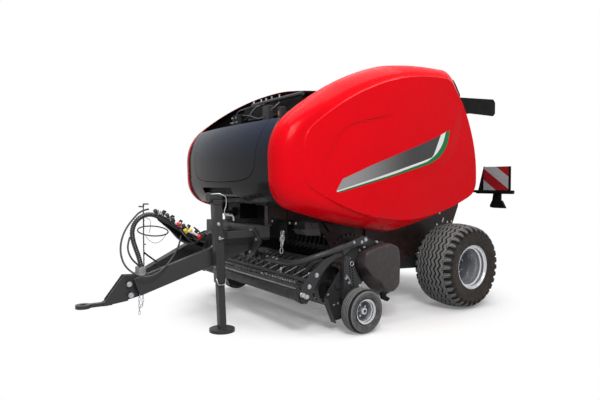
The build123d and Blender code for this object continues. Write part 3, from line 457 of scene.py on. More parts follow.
def red_cover():
    """Moulded gloss red: a faint ripple, colour a little uneven, road dust and pale nicks near the lower
    lip. Faces that look towards the machine's middle are painted near black, a painted shade for the dark
    inside of the cover, but for its rim, whose lower rear run is tan with dust."""
    f = Finish("red_cover_gloss", "red_paint", roughness=0.28, coat=0.06, coat_roughness=0.06, ior=1.12)
    uneven = f.noise(2.2, 2)
    colour = f.mix(uneven, (0.62, 0.0004, 0.0045), (0.71, 0.0008, 0.0075))
    low = f.step(f.z, 1.24, 0.93)
    grime = low * f.step(f.noise(14, 6, 0.65), 0.46, 0.72)
    colour = f.mix(grime * 0.55, colour, (0.12, 0.03, 0.025))
    nick = f.step(f.cells(70), 0.1, 0.04) * f.step(f.z, 1.12, 0.92) * f.step(f.noise(9), 0.52, 0.6)
    colour = f.mix(nick * 0.6, colour, (0.55, 0.45, 0.42))
    ripple = f.bump(f.noise(26, 2), 0.0005)
    edge = f.step(abs(f.y), 1.03, 1.0) * f.step(f.z, 1.32, 1.27) * f.step(f.axle_x, 0.62, 0.5)
    colour = f.mix(edge * 0.85, colour, (0.17, 0.075, 0.055))
    # painted shade: inward-looking faces, away from the rim and the front, are painted near black for the
    # dark inside of the cover
    inner = f.looking_in() * f.step(abs(f.y), 0.94, 0.955) * f.step(f.axle_x, 2.14, 2.08)
    colour = f.mix(inner, colour, f.mix(f.noise(9, 4), (0.008, 0.007, 0.007), (0.02, 0.017, 0.016)))
    return f.done(colour, f.step(f.noise(7, 4), 0.35, 0.75, 0.24, 0.34) + grime * 0.3 + inner * 0.25, ripple)


def dark_cover():
    """Gloss black plastic with a fine ripple and dust in its lower part; its colour is painted bluer towards
    the top as a painted reflection.
    """
    f = Finish("front_cover_gloss", "cover_plastic", roughness=0.2, coat=0.04, coat_roughness=0.05, ior=1.16)
    # painted reflection: the colour turns blue towards the top to stand for a reflection, not the plastic's
    # own tone
    high = f.step(f.z, 1.45, 1.95)
    colour = f.mix(high, (0.016, 0.0155, 0.018), (0.008, 0.013, 0.034))
    dust = f.step(f.z, 1.42, 1.15) * f.step(f.noise(11, 7, 0.7), 0.42, 0.75)
    colour = f.mix(dust * 0.28, colour, (0.1, 0.088, 0.08))
    specks = f.step(f.cells(60), 0.12, 0.05) * f.step(f.z, 1.4, 1.2) * f.step(f.noise(13), 0.5, 0.62)
    colour = f.mix(specks * 0.4, colour, (0.3, 0.28, 0.26))
    return f.done(colour, f.step(f.noise(6, 3), 0.3, 0.7, 0.16, 0.24) + dust * 0.35,
                  f.bump(f.noise(22), 0.0004))


def charcoal_paint(name="charcoal_paint", tone=(0.026, 0.026, 0.028), shift=0.01, gloss=0.38, band=None):
    """Satin powder coat: orange-peel grain, cloudy dust on faces that look up, paler rubbed spots; if a band
    of heights is given, painted shade: near black above and below it."""
    f = Finish(name, "frame_paint", roughness=gloss, coat=0.04, coat_roughness=0.2,
               ior=1.3 if tone[0] > 0.01 else 1.15)
    lighter = tuple(t + shift for t in tone)
    colour = f.mix(f.noise(5, 4), tone, lighter)
    up = f.node("ShaderNodeSeparateXYZ", {}, {"Vector": f.node("ShaderNodeNewGeometry", {}, {}, "Normal")}, 2)
    dust = f.step(up, 0.55, 1.0) * f.step(f.noise(16, 6, 0.65), 0.38, 0.7)
    colour = f.mix(dust * 0.3, colour, (0.13, 0.122, 0.115))
    rubbed = f.step(f.noise(38, 3, 0.6), 0.66, 0.76)
    colour = f.mix(rubbed * 0.2, colour, (0.12, 0.115, 0.11))
    # painted shade: outside the given band of heights the paint turns near black
    if band:
        inside = f.step(f.z, band[0] - 0.01, band[0]) * f.step(f.z, band[1] + 0.01, band[1])
        colour = f.mix(inside, (0.004, 0.004, 0.004), colour)
    peel = f.bump(f.noise(420, 1) * 0.6 + f.noise(60, 2) * 0.4, 0.0006)
    return f.done(colour, f.step(f.noise(12, 4), 0.3, 0.7, gloss - 0.07, gloss + 0.12) + dust * 0.2, peel)


def umber_sheet():
    """Brown-black sheet metal of the chamber: soft stains, rain streaks down it, dust towards the bottom."""
    f = Finish("umber_sheet_metal", "wall_paint", roughness=0.45, ior=1.3)
    colour = f.mix(f.noise(3, 4), (0.022, 0.008, 0.009), (0.04, 0.016, 0.016))
    streak = f.step(f.noise(9, 5, 0.6, (6.0, 6.0, 0.5)), 0.5, 0.75)
    colour = f.mix(streak * 0.4, colour, (0.055, 0.038, 0.034))
    dust = f.step(f.z, 1.0, 0.45) * f.step(f.noise(13, 6, 0.7), 0.4, 0.7)
    colour = f.mix(dust * 0.5, colour, (0.1, 0.082, 0.068))
    return f.done(colour, f.step(f.noise(10, 4), 0.3, 0.7, 0.36, 0.52), f.bump(f.noise(90, 2), 0.0008))


def drive_cover_finish():
    """Warm dark satin moulding, its face painted paler towards the top as painted light, and paler in patches
    where dust settles.
    """
    f = Finish("drive_cover_satin", "frame_paint", roughness=0.34, coat=0.12, coat_roughness=0.15, ior=1.35)
    # painted light: the face is paler higher up
    colour = f.mix(f.step(f.z, 0.35, 0.85), (0.028, 0.021, 0.022), (0.036, 0.028, 0.029))
    colour = f.mix(f.step(f.noise(18, 5, 0.6), 0.5, 0.75) * 0.3, colour, (0.11, 0.09, 0.08))
    return f.done(colour, f.step(f.noise(9, 4), 0.3, 0.7, 0.3, 0.44), f.bump(f.noise(240, 1), 0.0005))


def silver_paint():
    """Silver wheel lacquer with fine metal flake under a clear coat."""
    f = Finish("silver_lacquer", "rim_paint", metallic=0.75, roughness=0.2, coat=0.3, coat_roughness=0.05)
    colour = f.mix(f.noise(300, 1), (0.54, 0.55, 0.57), (0.6, 0.61, 0.64))
    return f.done(colour, f.step(f.noise(8, 2), 0.3, 0.7, 0.18, 0.24))


def bright_zinc():
    """Zinc-plated steel: pale, mottled by its crystals, a little dull."""
    f = Finish("zinc_plate", "steel", metallic=1.0, roughness=0.28)
    colour = f.mix(f.noise(160, 3), (0.28, 0.29, 0.31), (0.56, 0.57, 0.6))
    return f.done(colour, f.step(f.noise(90, 3), 0.3, 0.7, 0.2, 0.42), f.bump(f.noise(320, 2), 0.0003))


def worn_steel(name="worn_steel", tone=(0.16, 0.155, 0.15), bright=(0.34, 0.335, 0.33)):
    """Steel that crop has rubbed: drawn along the machine's width, with darker oxide in patches."""
    f = Finish(name, "steel", metallic=0.8, roughness=0.38)
    drawn = f.noise(60, 4, 0.6, (1.0, 0.12, 1.0))
    colour = f.mix(drawn, tone, bright)
    oxide = f.step(f.noise(17, 6, 0.7), 0.5, 0.68)
    colour = f.mix(oxide * 0.7, colour, tuple(t * 0.35 for t in tone))
    return f.done(colour, f.step(drawn, 0.3, 0.7, 0.3, 0.46) + oxide * 0.2, f.bump(drawn, 0.0006),
                  f.step(oxide, 0, 1, 0.85, 0.35))


def chrome_rod():
    """Hard chrome with faint turning marks and a film of oil."""
    f = Finish("chrome_rod", "rod_chrome", metallic=1.0, roughness=0.08)
    return f.done(f.mix(f.noise(50, 3), (0.72, 0.73, 0.75), (0.86, 0.86, 0.88)),
                  f.step(f.noise(24, 4), 0.4, 0.7, 0.06, 0.2), f.bump(f.noise(300, 1), 0.0001))


def tyre_rubber(name, radius, shoulder, mid_x, mid_z, tread_depth, wall_tone, crown, bead):
    """Tyre rubber: worn grey on the tread's tops, black in its grooves, dust on the walls. The mask is the
    distance from the wheel's axle line, made good for the crown's fall towards its edges: crown is (middle,
    fall, drop, half width), the fall going with the square of the offset and the drop with its 16th
    power."""
    f = Finish(name, "tyre_rubber", roughness=0.75, ior=1.35)
    reach = f.from_line(f.x - mid_x, f.z - mid_z)
    mid_y, fall, drop, half = crown
    aside = abs(f.y) - mid_y
    top = f.step(reach + aside * aside * fall + (aside * aside) ** 8.0 * (drop / half**16),
                 radius - tread_depth * 0.7, radius - tread_depth * 0.2)
    wall = f.step(reach, shoulder, shoulder - 0.02)
    grain = f.noise(55, 6, 0.65)
    colour = f.mix(top, (0.0015, 0.0015, 0.0015), (0.15, 0.15, 0.148))
    colour = f.mix(wall, colour, wall_tone)
    dust = wall * f.step(f.noise(16, 6, 0.7), 0.42, 0.62)
    colour = f.mix(dust * 0.6, colour, tuple(t * 2.6 for t in wall_tone))
    scuff = top * f.step(f.noise(140, 4, 0.6), 0.45, 0.7)
    colour = f.mix(scuff * 0.5, colour, (0.24, 0.24, 0.235))
    colour = f.mix(f.step(reach, bead + 0.018, bead + 0.008), colour, (0.003, 0.003, 0.003))
    return f.done(colour, f.step(grain, 0.3, 0.7, 0.55, 0.85),
                  f.bump(f.noise(300, 3, 0.6) + f.noise(40, 3), 0.0015))


def belt_rubber():
    """Bale belt: black rubber with a raised diamond grip and chaff dust."""
    f = Finish("belt_rubber", "belt_rubber", roughness=0.7)
    a = f.node("ShaderNodeMath", {"operation": "SINE"}, {0: (f.y + f.z + f.x * 0.3) * 260})
    b = f.node("ShaderNodeMath", {"operation": "SINE"}, {0: (f.y - f.z - f.x * 0.3) * 260})
    grip = f.step(a * b, -0.2, 0.5)
    dust = f.step(f.noise(8, 6, 0.7), 0.42, 0.75)
    colour = f.mix(dust * 0.5, (0.018, 0.018, 0.018), (0.075, 0.068, 0.055))
    return f.done(colour, f.step(dust, 0, 1, 0.6, 0.85), f.bump(grip, 0.0015))


def hose_rubber(name="hose_rubber", tone=(0.01, 0.01, 0.011)):
    """Hydraulic hose cover: black rubber with a cloth print in its skin and dusty patches."""
    f = Finish(name, "hose_rubber", roughness=0.42, coat=0.1, coat_roughness=0.3)
    dust = f.step(f.noise(22, 5, 0.65), 0.48, 0.72)
    colour = f.mix(dust * 0.4, tone, (0.06, 0.058, 0.055))
    return f.done(colour, f.step(dust, 0, 1, 0.34, 0.6), f.bump(f.noise(700, 2), 0.0004))


def spiral_guard():
    """Black plastic spiral wrapping, its ridges rubbed pale."""
    f = Finish("spiral_guard_plastic", "hose_rubber", roughness=0.35, coat=0.2, coat_roughness=0.15)
    rubbed = f.step(f.noise(70, 4, 0.6), 0.52, 0.7)
    colour = f.mix(rubbed * 0.5, (0.011, 0.011, 0.012), (0.085, 0.085, 0.088))
    return f.done(colour, f.step(rubbed, 0, 1, 0.28, 0.5), f.bump(f.noise(240, 2), 0.0005))


def cast_grey(name="grey_casting", tone=(0.22, 0.22, 0.23)):
    """Sand-cast iron under thin grey paint: grainy, with darker pits."""
    f = Finish(name, "grey_cast", roughness=0.6, metallic=0.2)
    pits = f.step(f.cells(150), 0.25, 0.1)
    colour = f.mix(f.noise(20, 5), tone, tuple(t * 1.5 for t in tone))
    colour = f.mix(pits * 0.5, colour, tuple(t * 0.4 for t in tone))
    return f.done(colour, f.step(f.noise(30, 4), 0.3, 0.7, 0.5, 0.72), f.bump(f.noise(180, 4, 0.65), 0.0015))


def striped_board(name, lean):
    """Reflecting board: slanting red and white bands with a honeycomb in the sheeting, both painted dark as
    painted shade: the red deep, the white grey.
    """
    f = Finish(name, "red_paint", roughness=0.3, coat=0.4, coat_roughness=0.1)
    across = ((f.y * lean + f.z - 0.679) / 0.28) % 1.0
    red = f.step(across, 0.085, 0.1) - f.step(across, 0.575, 0.59)
    cell = f.step(f.cells(170, "Distance", "DISTANCE_TO_EDGE"), 0.02, 0.08)
    # painted shade: the white bands are grey and the red bands dark red
    colour = f.mix(red, (0.3, 0.3, 0.31), (0.25, 0.002, 0.006))
    colour = f.mix((1 - cell) * 0.25, colour, (0.12, 0.1, 0.1))
    return f.done(colour, f.step(f.noise(20), 0.3, 0.7, 0.24, 0.4), f.bump(cell, 0.0002))


def sticker(name, near, far, x_near, x_far):
    """A gloss foil whose colour runs along the machine from one tone to another."""
    f = Finish(name, "rim_paint", roughness=0.3, coat=0.05, ior=1.2)
    along = f.step(f.axle_x, x_near, x_far)
    colour = f.mix(along, near, far)
    return f.done(colour, f.step(f.noise(18), 0.3, 0.7, 0.26, 0.36), f.bump(f.noise(40), 0.00003))


def cap_plastic(name, tone, slot="rim_paint"):
    """Coloured dust-cap plastic, a little uneven."""
    f = Finish(name, slot, roughness=0.4)
    colour = f.mix(f.noise(90, 4), tone, tuple(min(1, t * 1.35 + 0.01) for t in tone))
    return f.done(colour, f.step(f.noise(70), 0.3, 0.7, 0.32, 0.5), f.bump(f.noise(200), 0.0003))


red_gloss = red_cover()
cover_gloss = dark_cover()
charcoal = charcoal_paint()
charcoal_dull = charcoal_paint("charcoal_dull", (0.022, 0.021, 0.022), 0.008, 0.5)
umber = umber_sheet()
satin_cover = drive_cover_finish()
silver = silver_paint()
zinc = bright_zinc()
crop_steel = worn_steel()
dark_steel = worn_steel("dark_steel", (0.03, 0.029, 0.028), (0.075, 0.073, 0.07))
chrome = chrome_rod()
belt = belt_rubber()
hose_black = hose_rubber()
guard_black = spiral_guard()
casting = cast_grey()
white_plate = cap_plastic("white_plastic", (0.62, 0.62, 0.6))
red_cap = cap_plastic("red_cap", (0.62, 0.01, 0.012), "red_paint")
yellow_cap = cap_plastic("yellow_cap", (0.72, 0.52, 0.02))
black_cap = cap_plastic("black_cap", (0.012, 0.012, 0.013), "hose_rubber")


# ---- side covers ----------------------------------------------------------------------------------------
# Rows of the cover's outline, clockwise from the top rear corner: (through, end) on its inner edge, then
# (through, end) on its outer face, in millimetres; None is a straight row.
COVER_START = ((20, 2560), (120, 2400))
COVER_ROWS = [
    ((70, 2628), (200, 2652), (185, 2480), (300, 2508)),
    ((640, 2638), (1068, 2582), (690, 2486), (1040, 2415)),
    ((1650, 2365), (2243, 1983), (1530, 2225), (2014, 1922)),
    ((2368, 1806), (2398, 1600), (2098, 1838), (2134, 1700)),
    (None, (2393, 1440), None, (2132, 1480)),
    ((2350, 1262), (2240, 1160), (2112, 1395), (2040, 1335)),
    ((1700, 1010), (957, 877), (1517, 1110), (836, 1009)),
    ((520, 975), (-120, 1228), (400, 1062), (-130, 1228)),
    ((-215, 1310), (-240, 1440), (-235, 1310), (-262, 1440)),
    ((-170, 1960), (20, 2560), (-190, 1900), (120, 2400)),
]
EDGE_Y, FACE_Y, COVER_WALL = 0.9, 1.105, 0.005
FACE_MIDDLE = np.array([0.98, 1.74])
REAR_RIDGE = [(0.06, 2.36), (0.117, 2.11), (0.181, 1.921), (0.245, 1.766), (0.356, 1.644), (0.665, 1.558),
              (0.95, 1.5)]
SCOOP_LINE = [(1.945, 1.38), (1.933, 1.459), (1.899, 1.577), (1.819, 1.751), (1.761, 1.836), (1.702, 1.895),
              (1.618, 1.937), (1.42, 1.993), (1.212, 2.041), (1.02, 2.075)]


def cover_loops(count):
    """The cover's edge and face outlines as two closed loops whose points belong together, rounded by
    loop_eased."""
    edge, face = [], []
    here_edge, here_face = COVER_START
    lengths = []
    for _, edge_end, _, face_end in COVER_ROWS:
        lengths.append(math.dist(here_edge, edge_end) + math.dist(here_face, face_end))
        here_edge, here_face = edge_end, face_end
    shares = np.round(np.cumsum(lengths) / sum(lengths) * count).astype(int)
    steps = np.diff(np.r_[0, shares])
    here_edge, here_face = COVER_START
    for (edge_by, edge_end, face_by, face_end), n in zip(COVER_ROWS, steps):
        for store, here, by, end in ((edge, here_edge, edge_by, edge_end),
                                     (face, here_face, face_by, face_end)):
            line = np.linspace(here, end, n, endpoint=False)
            store.append(line if by is None else arc(here, by, end, n))
        here_edge, here_face = edge_end, face_end
    return loop_eased(np.concatenate(edge) / 1000, 0.006), loop_eased(np.concatenate(face) / 1000, 0.004)


def line_distance(points, line):
    """For each point, its signed distance from a broken line (positive on the line's right) and how far
    along the line the nearest place is, from 0 to 1."""
    line = np.asarray(line, float)
    a, b = line[:-1], line[1:]
    along = b - a
    size = np.linalg.norm(along, axis=1)
    offset = points[..., None, :] - a
    share = np.clip((offset * along).sum(-1) / size**2, 0, 1)
    gap = offset - share[..., None] * along
    length = np.linalg.norm(gap, axis=-1)
    nearest = length.argmin(-1)[..., None]
    side = np.sign(along[:, 0] * offset[..., 1] - along[:, 1] * offset[..., 0])
    start = np.r_[0, np.cumsum(size)[:-1]] / size.sum()
    place = start + share * size / size.sum()

    def pick(values):
        return np.take_along_axis(values, nearest, -1)[..., 0]

    return -pick(length) * pick(side), pick(place)


def smooth_rise(value, low, high):
    """0 below low, 1 above high, and 3t^2 - 2t^3 between."""
    t = np.clip((value - low) / (high - low), 0, 1)
    return t * t * (3 - 2 * t)


def face_height(x, z):
    """How far the cover's face stands out at (x, z): a low crown, less a stepped recess right of the scoop
    line that dies out over half a metre, less a slope of 1 in 8 behind the rear ridge."""
    points = np.stack([x, z], -1)
    crown = 0.012 * np.clip(1 - ((x - FACE_MIDDLE[0]) / 1.2) ** 2 - ((z - FACE_MIDDLE[1]) / 0.74) ** 2, 0, 1)
    gap, place = line_distance(points, SCOOP)
    fade = smooth_rise(place, 0.0, 0.2) * smooth_rise(place, 1.0, 0.62)
    scoop = -0.014 * smooth_rise(gap, 0.0, 0.012) * np.exp(-np.clip(gap, 0, 9) / 0.15) * fade
    gap, place = line_distance(points, RIDGE)
    ridge = -0.12 * np.clip(-gap - 0.004, 0, 0.12) * smooth_rise(place, 0.02, 0.35)
    ridge *= smooth_rise(place, 1.0, 0.75)
    return FACE_Y + crown + scoop + ridge


SCOOP = eased(np.array(SCOOP_LINE)[::-1], 40, 0.05)
RIDGE = eased(np.array(REAR_RIDGE)[::-1], 40, 0.06)


def side_cover(side):
    """A side cover as one closed wall. Outside: points F + (E - F) b between the face outline F and the edge
    outline E stand at y = 0.900 + 0.205 h, where h is (1 - b)^0.55 at the back and eases into a fuller (1 -
    b^2.4)^(1 / 2.4) at the front, and just short of F they dip 9 mm to leave the face standing proud; within
    F they close in on its middle at face_height. Inside: the same 5 mm further in, on fewer rows."""
    edge, face = cover_loops(440)
    fuller = smooth_rise(edge[:, 0], 1.7, 2.25)
    above = smooth_rise(face[:, 1], 1.5, 1.9)
    proud = above * smooth_rise(face[:, 0], 0.12, 0.35) + (1 - above) * smooth_rise(face[:, 0], 0.6, 1.2)

    def shoulder(rows, inset):
        s = np.r_[np.linspace(0, 0.9, rows - 9) ** 2.0 / 0.9, np.linspace(0.915, 1, 9)][:, None]
        spot = edge + (face - edge) * s[..., None]
        rise = (1 - fuller) * s**0.55 + fuller * (1 - (1 - s) ** 2.4) ** (1 / 2.4)
        dip = 0.009 * smooth_rise(s, 0.55, 0.92) * (1 - smooth_rise(s, 0.945, 0.998)) * proud
        y = EDGE_Y + (FACE_Y - EDGE_Y) * rise - dip - inset * smooth_rise(s, 0, 0.1)
        drop = face_height(spot[..., 0], spot[..., 1]) - FACE_Y
        return spot, y + drop * s**2

    def inner_face(rows, inset):
        k = np.linspace(1, 0, rows)[1:, None, None]
        spot = FACE_MIDDLE + (face - FACE_MIDDLE) * k
        return spot, face_height(spot[..., 0], spot[..., 1]) - inset

    grids = []
    for rows, face_rows, inset in ((44, 88, 0.0), (16, 12, COVER_WALL)):
        (a, ya), (b, yb) = shoulder(rows, inset), inner_face(face_rows, inset)
        spot, y = np.concatenate([a, b]), np.concatenate([ya, yb])
        if inset:
            pull = FACE_MIDDLE - spot
            pull = pull / np.maximum(np.linalg.norm(pull, axis=-1, keepdims=True), 0.2)
            depth = np.clip(np.arange(len(spot)) / 2, 0, 1)[:, None, None]
            spot = spot + pull * inset * depth
        grids.append((np.stack([spot[..., 0] + AXLE_X, y * side, spot[..., 1]], -1), False, True))
    return grids


def cover_ribs(side):
    """Two pressed ribs inside the cover, each with the knuckle that its hinge pin runs through."""
    outline = [(0.8262, 2.383), (0.8262, 2.41), (0.9, 2.43), (1.098, 2.202), (1.098, 1.98), (0.96, 2.19)]
    grids = []
    for x in (0.52, 1.33):
        web = [(side * y, z) for y, z in outline]
        grids.append(plate(web, x + AXLE_X - 0.004, x + AXLE_X + 0.004, 0.001, axis=0))
        ring = oblong(0.0123, -0.025, 0.02, 0.025)
        grids.append(turned(ring, (x + AXLE_X, side * 0.815, 2.4), 32, closed=True, axis=0))
    return grids


def cover_strip(side, first, second, rows, lift=0.0012, count=90):
    """A foil on the cover's face between two lines: points first + (second - first) v, standing lift above
    face_height, and 2.2 mm thick."""
    a, b = resampled(first, count), resampled(second, count)
    v = np.linspace(0, 1, rows)[:, None, None]
    spot = a + (b - a) * v
    y = face_height(spot[..., 0], spot[..., 1])
    top = np.stack([spot[..., 0] + AXLE_X, (y + lift) * side, spot[..., 1]], -1)
    under = top - np.array([0, 0.0022 * side, 0])
    grid = np.concatenate([top, under[::-1]])
    ends = grid[:, :1].mean(0, keepdims=True), grid[:, -1:].mean(0, keepdims=True)
    closed = [np.broadcast_to(end, (len(grid), 1, 3)) for end in ends]
    return np.concatenate([closed[0], grid, closed[1]], 1), True, False


FOIL_TOP = eased([(1.716, 1.423), (1.35, 1.561), (0.95, 1.695), (0.6, 1.812), (0.372, 1.899)], 60, 0.05)
FOIL_LOW = eased([(1.787, 1.313), (1.35, 1.424), (0.95, 1.532), (0.6, 1.628), (0.494, 1.661)], 60, 0.03)
WHITE_IN = eased([(0.374, 1.898), (0.432, 1.782), (0.494, 1.661), (0.6, 1.628), (1.1, 1.49), (1.787, 1.313)],
                 90, 0.03)
WHITE_OUT = eased([(0.292, 1.936), (0.338, 1.806), (0.432, 1.696), (0.571, 1.612), (1.1, 1.466),
                   (1.775, 1.304)], 90, 0.04)
GREEN_OUT = eased([(0.222, 1.958), (0.27, 1.785), (0.38, 1.664), (0.54, 1.588), (1.1, 1.446),
                   (1.751, 1.297)], 90, 0.04)

foil_grey = sticker("foil_grey", (0.055, 0.055, 0.058), (0.27, 0.27, 0.27), 0.75, 1.75)
foil_white = sticker("foil_white", (0.78, 0.78, 0.77), (0.66, 0.66, 0.66), 0.3, 1.6)
foil_green = sticker("foil_green", (0.006, 0.17, 0.05), (0.006, 0.12, 0.04), 0.3, 1.6)
for name, side in SIDES:
    body = f"panel_{name}"
    make(f"side_cover_{name}", side_cover(side), body, red_gloss, [f"side_panel_{name}"], 30)
    make(f"cover_ribs_{name}", cover_ribs(side), body, charcoal_dull)
    make(f"foil_grey_{name}", [cover_strip(side, FOIL_TOP, FOIL_LOW, 9)], body, foil_grey)
    make(f"foil_white_{name}", [cover_strip(side, WHITE_IN, WHITE_OUT, 3)], body, foil_white)
    make(f"foil_green_{name}", [cover_strip(side, WHITE_OUT, GREEN_OUT, 3)], body, foil_green,
         slot="frame_paint")

# ---- front cover ----------------------------------------------------------------------------------------
COVER_SECTION = np.concatenate([
    arc((2262, 1976), (2350, 1826), (2388, 1600), 40),
    np.linspace((2388, 1600), (2383, 1450), 8, endpoint=False),
    arc((2383, 1450), (2345, 1290), (2240, 1172), 30), [(2240, 1172)],
]) / 1000
CROWN_HALF, CROWN_BULGE, CROWN_FRONT = 0.885, 0.055, 2.388
CROWN_AXIS = CROWN_FRONT + CROWN_BULGE - (CROWN_HALF**2 + CROWN_BULGE**2) / (2 * CROWN_BULGE)


def front_skin(y, z):
    """x of the front cover at (y, z): its upright section, swung about a far upright axis through the
    middle."""
    section = np.interp(-z, -COVER_SECTION[:, 1], COVER_SECTION[:, 0])
    return CROWN_AXIS + np.sqrt((section + CROWN_BULGE - CROWN_AXIS) ** 2 - y**2)


def patch(top, left, bottom, right, rows, columns):
    """A Coons patch: the two ruled surfaces between opposite sides, less the one through the corners."""
    top, bottom = resampled(top, columns)[None], resampled(bottom, columns)[None]
    left, right = resampled(left, rows)[:, None], resampled(right, rows)[:, None]
    v = np.linspace(0, 1, rows)[:, None, None]
    u = np.linspace(0, 1, columns)[None, :, None]
    corners = ((1 - u) * (1 - v) * top[:, :1] + u * (1 - v) * top[:, -1:]
               + (1 - u) * v * bottom[:, :1] + u * v * bottom[:, -1:])
    return (1 - v) * top + v * bottom + (1 - u) * left + u * right - corners


def skin(flat, thickness):
    """A closed wall on the front cover from a grid of (y, z): the skin itself and the skin moved back."""
    y, z = flat[..., 0], flat[..., 1]
    x = front_skin(y, z)
    face = np.stack([x + AXLE_X, y, z], -1)
    back = np.stack([x + AXLE_X - thickness, y, z], -1)
    rim_rows = [np.stack([face[k], back[k]]) for k in (0, -1)]
    rim_columns = [np.stack([face[:, k], back[:, k]]) for k in (0, -1)]
    return [(grid, False, False) for grid in [face, back, *rim_rows, *rim_columns]]


FLAP_HALF, FLAP_FLARE, FLAP_LOW, FLAP_TOP, SURROUND_TOP = 0.665, 0.095, 1.398, 1.974, 1.976
COVER_THICK, FLAP_GAP = 0.006, 0.006


def flap_side(grow):
    """One side of the flap's outline from its top corner to the middle of its lower edge, eased at the
    corner."""
    half, low = FLAP_HALF + grow, FLAP_LOW - grow
    lean = FLAP_FLARE * (FLAP_TOP - low - 0.06) / (2.1 - low - 0.06)
    return eased([(half + lean, FLAP_TOP), (half, low + 0.1), (half - 0.09, low + 0.035),
                  (half - 0.3, low + 0.008), (0, low)], 140, 0.05)


def flap_grid():
    """The flap as a patch: its outline is split at the lower corners."""
    side = flap_side(0)
    corner = int(np.argmin(np.abs(side[:, 1] - (FLAP_LOW + 0.11))))
    left, low = side[:corner + 1], side[corner:]
    mirror = np.array([-1, 1])
    bottom = np.concatenate([low, (low * mirror)[-2::-1]])
    top = np.linspace(left[0], left[0] * mirror, 80)
    return patch(top, left, bottom, left * mirror, 64, 110)


def surround_grid():
    """The band round the flap, from the flap's outline grown by the gap to the cover's outer edges."""
    mirror = np.array([-1, 1])
    inner = flap_side(FLAP_GAP)
    inner[0, 1] = SURROUND_TOP
    inner = np.concatenate([inner, (inner * mirror)[-2::-1]])
    outer = np.concatenate([np.linspace((CROWN_HALF, SURROUND_TOP), (CROWN_HALF, 1.172), 60, endpoint=False),
                            np.linspace((CROWN_HALF, 1.172), (0.5, 1.172), 24, endpoint=False),
                            np.linspace((0.5, 1.172), (0.27, 1.258), 16, endpoint=False),
                            np.linspace((0.27, 1.258), (0.0, 1.258), 20)])
    outer = np.concatenate([outer, (outer * mirror)[-2::-1]])
    inner = resampled(inner, len(outer))
    v = np.linspace(0, 1, 26)[:, None, None]
    return inner + (outer - inner) * v


flap = make("front_flap_cover", skin(flap_grid(), COVER_THICK), "flap", cover_gloss, ["front_flap"], 30)
rounded_edges(flap, 0.0035, 3, math.radians(50))
surround = make("cover_surround_shell", skin(surround_grid(), COVER_THICK), "chassis", cover_gloss,
                ["cover_surround"], 30)
cut(surround, [brick((2.2 + AXLE_X, -0.5, 1.276), (2.6 + AXLE_X, 0.215, 1.338), 0.012),
               brick((2.0 + AXLE_X, 0.655, 1.192), (2.5 + AXLE_X, 0.765, 1.213), 0.008)])
surround.data.shade_smooth()
surround.data.set_sharp_from_angle(angle=math.radians(30))
rounded_edges(surround, 0.003, 2, math.radians(50))

# ---- tyres and rims -------------------------------------------------------------------------------------
MAIN_R, MAIN_Y, MAIN_TREAD = 0.465, 1.035, 0.014
GAUGE_X, GAUGE_R, GAUGE_Y, GAUGE_TREAD = 1.6, 0.21, 1.25, 0.007


def carcass(keys, count):
    """A tyre's section from bead to bead as (radius, offset), its corners eased."""
    half = eased(keys, count // 2, 0.012)
    return np.concatenate([half, (half * np.array([1, -1]))[-2::-1]])


def tyre_walls(section, radius, offset, around, spot, shrink):
    """A tyre's outside, and an inside from every sixth row of the section, shrunk, joined at the beads."""
    x, y, z = spot
    grid = np.stack([radius * np.sin(around) + x, offset + y, radius * np.cos(around) + z], -1)
    inside = turned(section[::-6] * np.array(shrink), spot, len(around))[0]
    return [(grid, False, True), (np.concatenate([grid[-1:], inside, grid[:1]]), False, True)]


def main_tyre(y):
    """The floatation tyre: its section swung round the axle, less a tread. On the crown, ribs between zigzag
    grooves: the offset is moved by a triangle wave of 32 teeth a turn before the grooves are cut, 14 mm
    deep. On each shoulder, 32 blocks stand between slots that die out down the wall, each with a shallow cut
    across."""
    section = carcass([(0.232, 0.214), (0.262, 0.226), (0.33, 0.243), (0.378, 0.248), (0.4, 0.243),
                       (0.422, 0.228), (0.44, 0.196), (0.455, 0.12), (0.4625, 0.05), (0.465, 0.0)], 116)
    around = np.linspace(0, TAU, 512, endpoint=False)
    radius = np.broadcast_to(section[:, :1], (len(section), len(around))).copy()
    offset = np.broadcast_to(section[:, 1:], radius.shape)
    teeth = 32
    turn = around * teeth / TAU
    wave = 2 * np.abs(turn % 1.0 - 0.5) - 0.5
    pitch = 0.0515
    shifted = offset + 0.026 * wave
    groove = 1 - smooth_rise(np.abs((shifted / pitch) % 1.0 - 0.5) * pitch, 0.0075, 0.011)
    crown = 1 - smooth_rise(np.abs(shifted), 0.172, 0.18)
    across = np.abs((turn + 0.25 + 0.6 * np.abs(offset)) % 1.0 - 0.5) * TAU * MAIN_R / teeth
    slot = 1 - smooth_rise(across, 0.014, 0.021)
    nick = 0.4 * (1 - smooth_rise(np.abs(across - 0.03), 0.003, 0.006))
    shoulder = smooth_rise(np.abs(offset), 0.178, 0.188) * smooth_rise(section[:, :1], 0.365, 0.385)
    outer = section[:, :1] > 0.36
    radius -= MAIN_TREAD * np.maximum(groove * crown, np.maximum(slot, nick) * shoulder) * outer
    offset = offset * (1 - 0.045 * slot * shoulder * outer)
    bead_lines = 0.0016 * (1 - smooth_rise(np.abs(section[:, :1] - 0.3), 0.001, 0.004))
    radius += bead_lines * (np.abs(offset) > 0.2)
    return tyre_walls(section, radius, offset, around, (AXLE_X, y, MAIN_R), (0.93, 0.9))


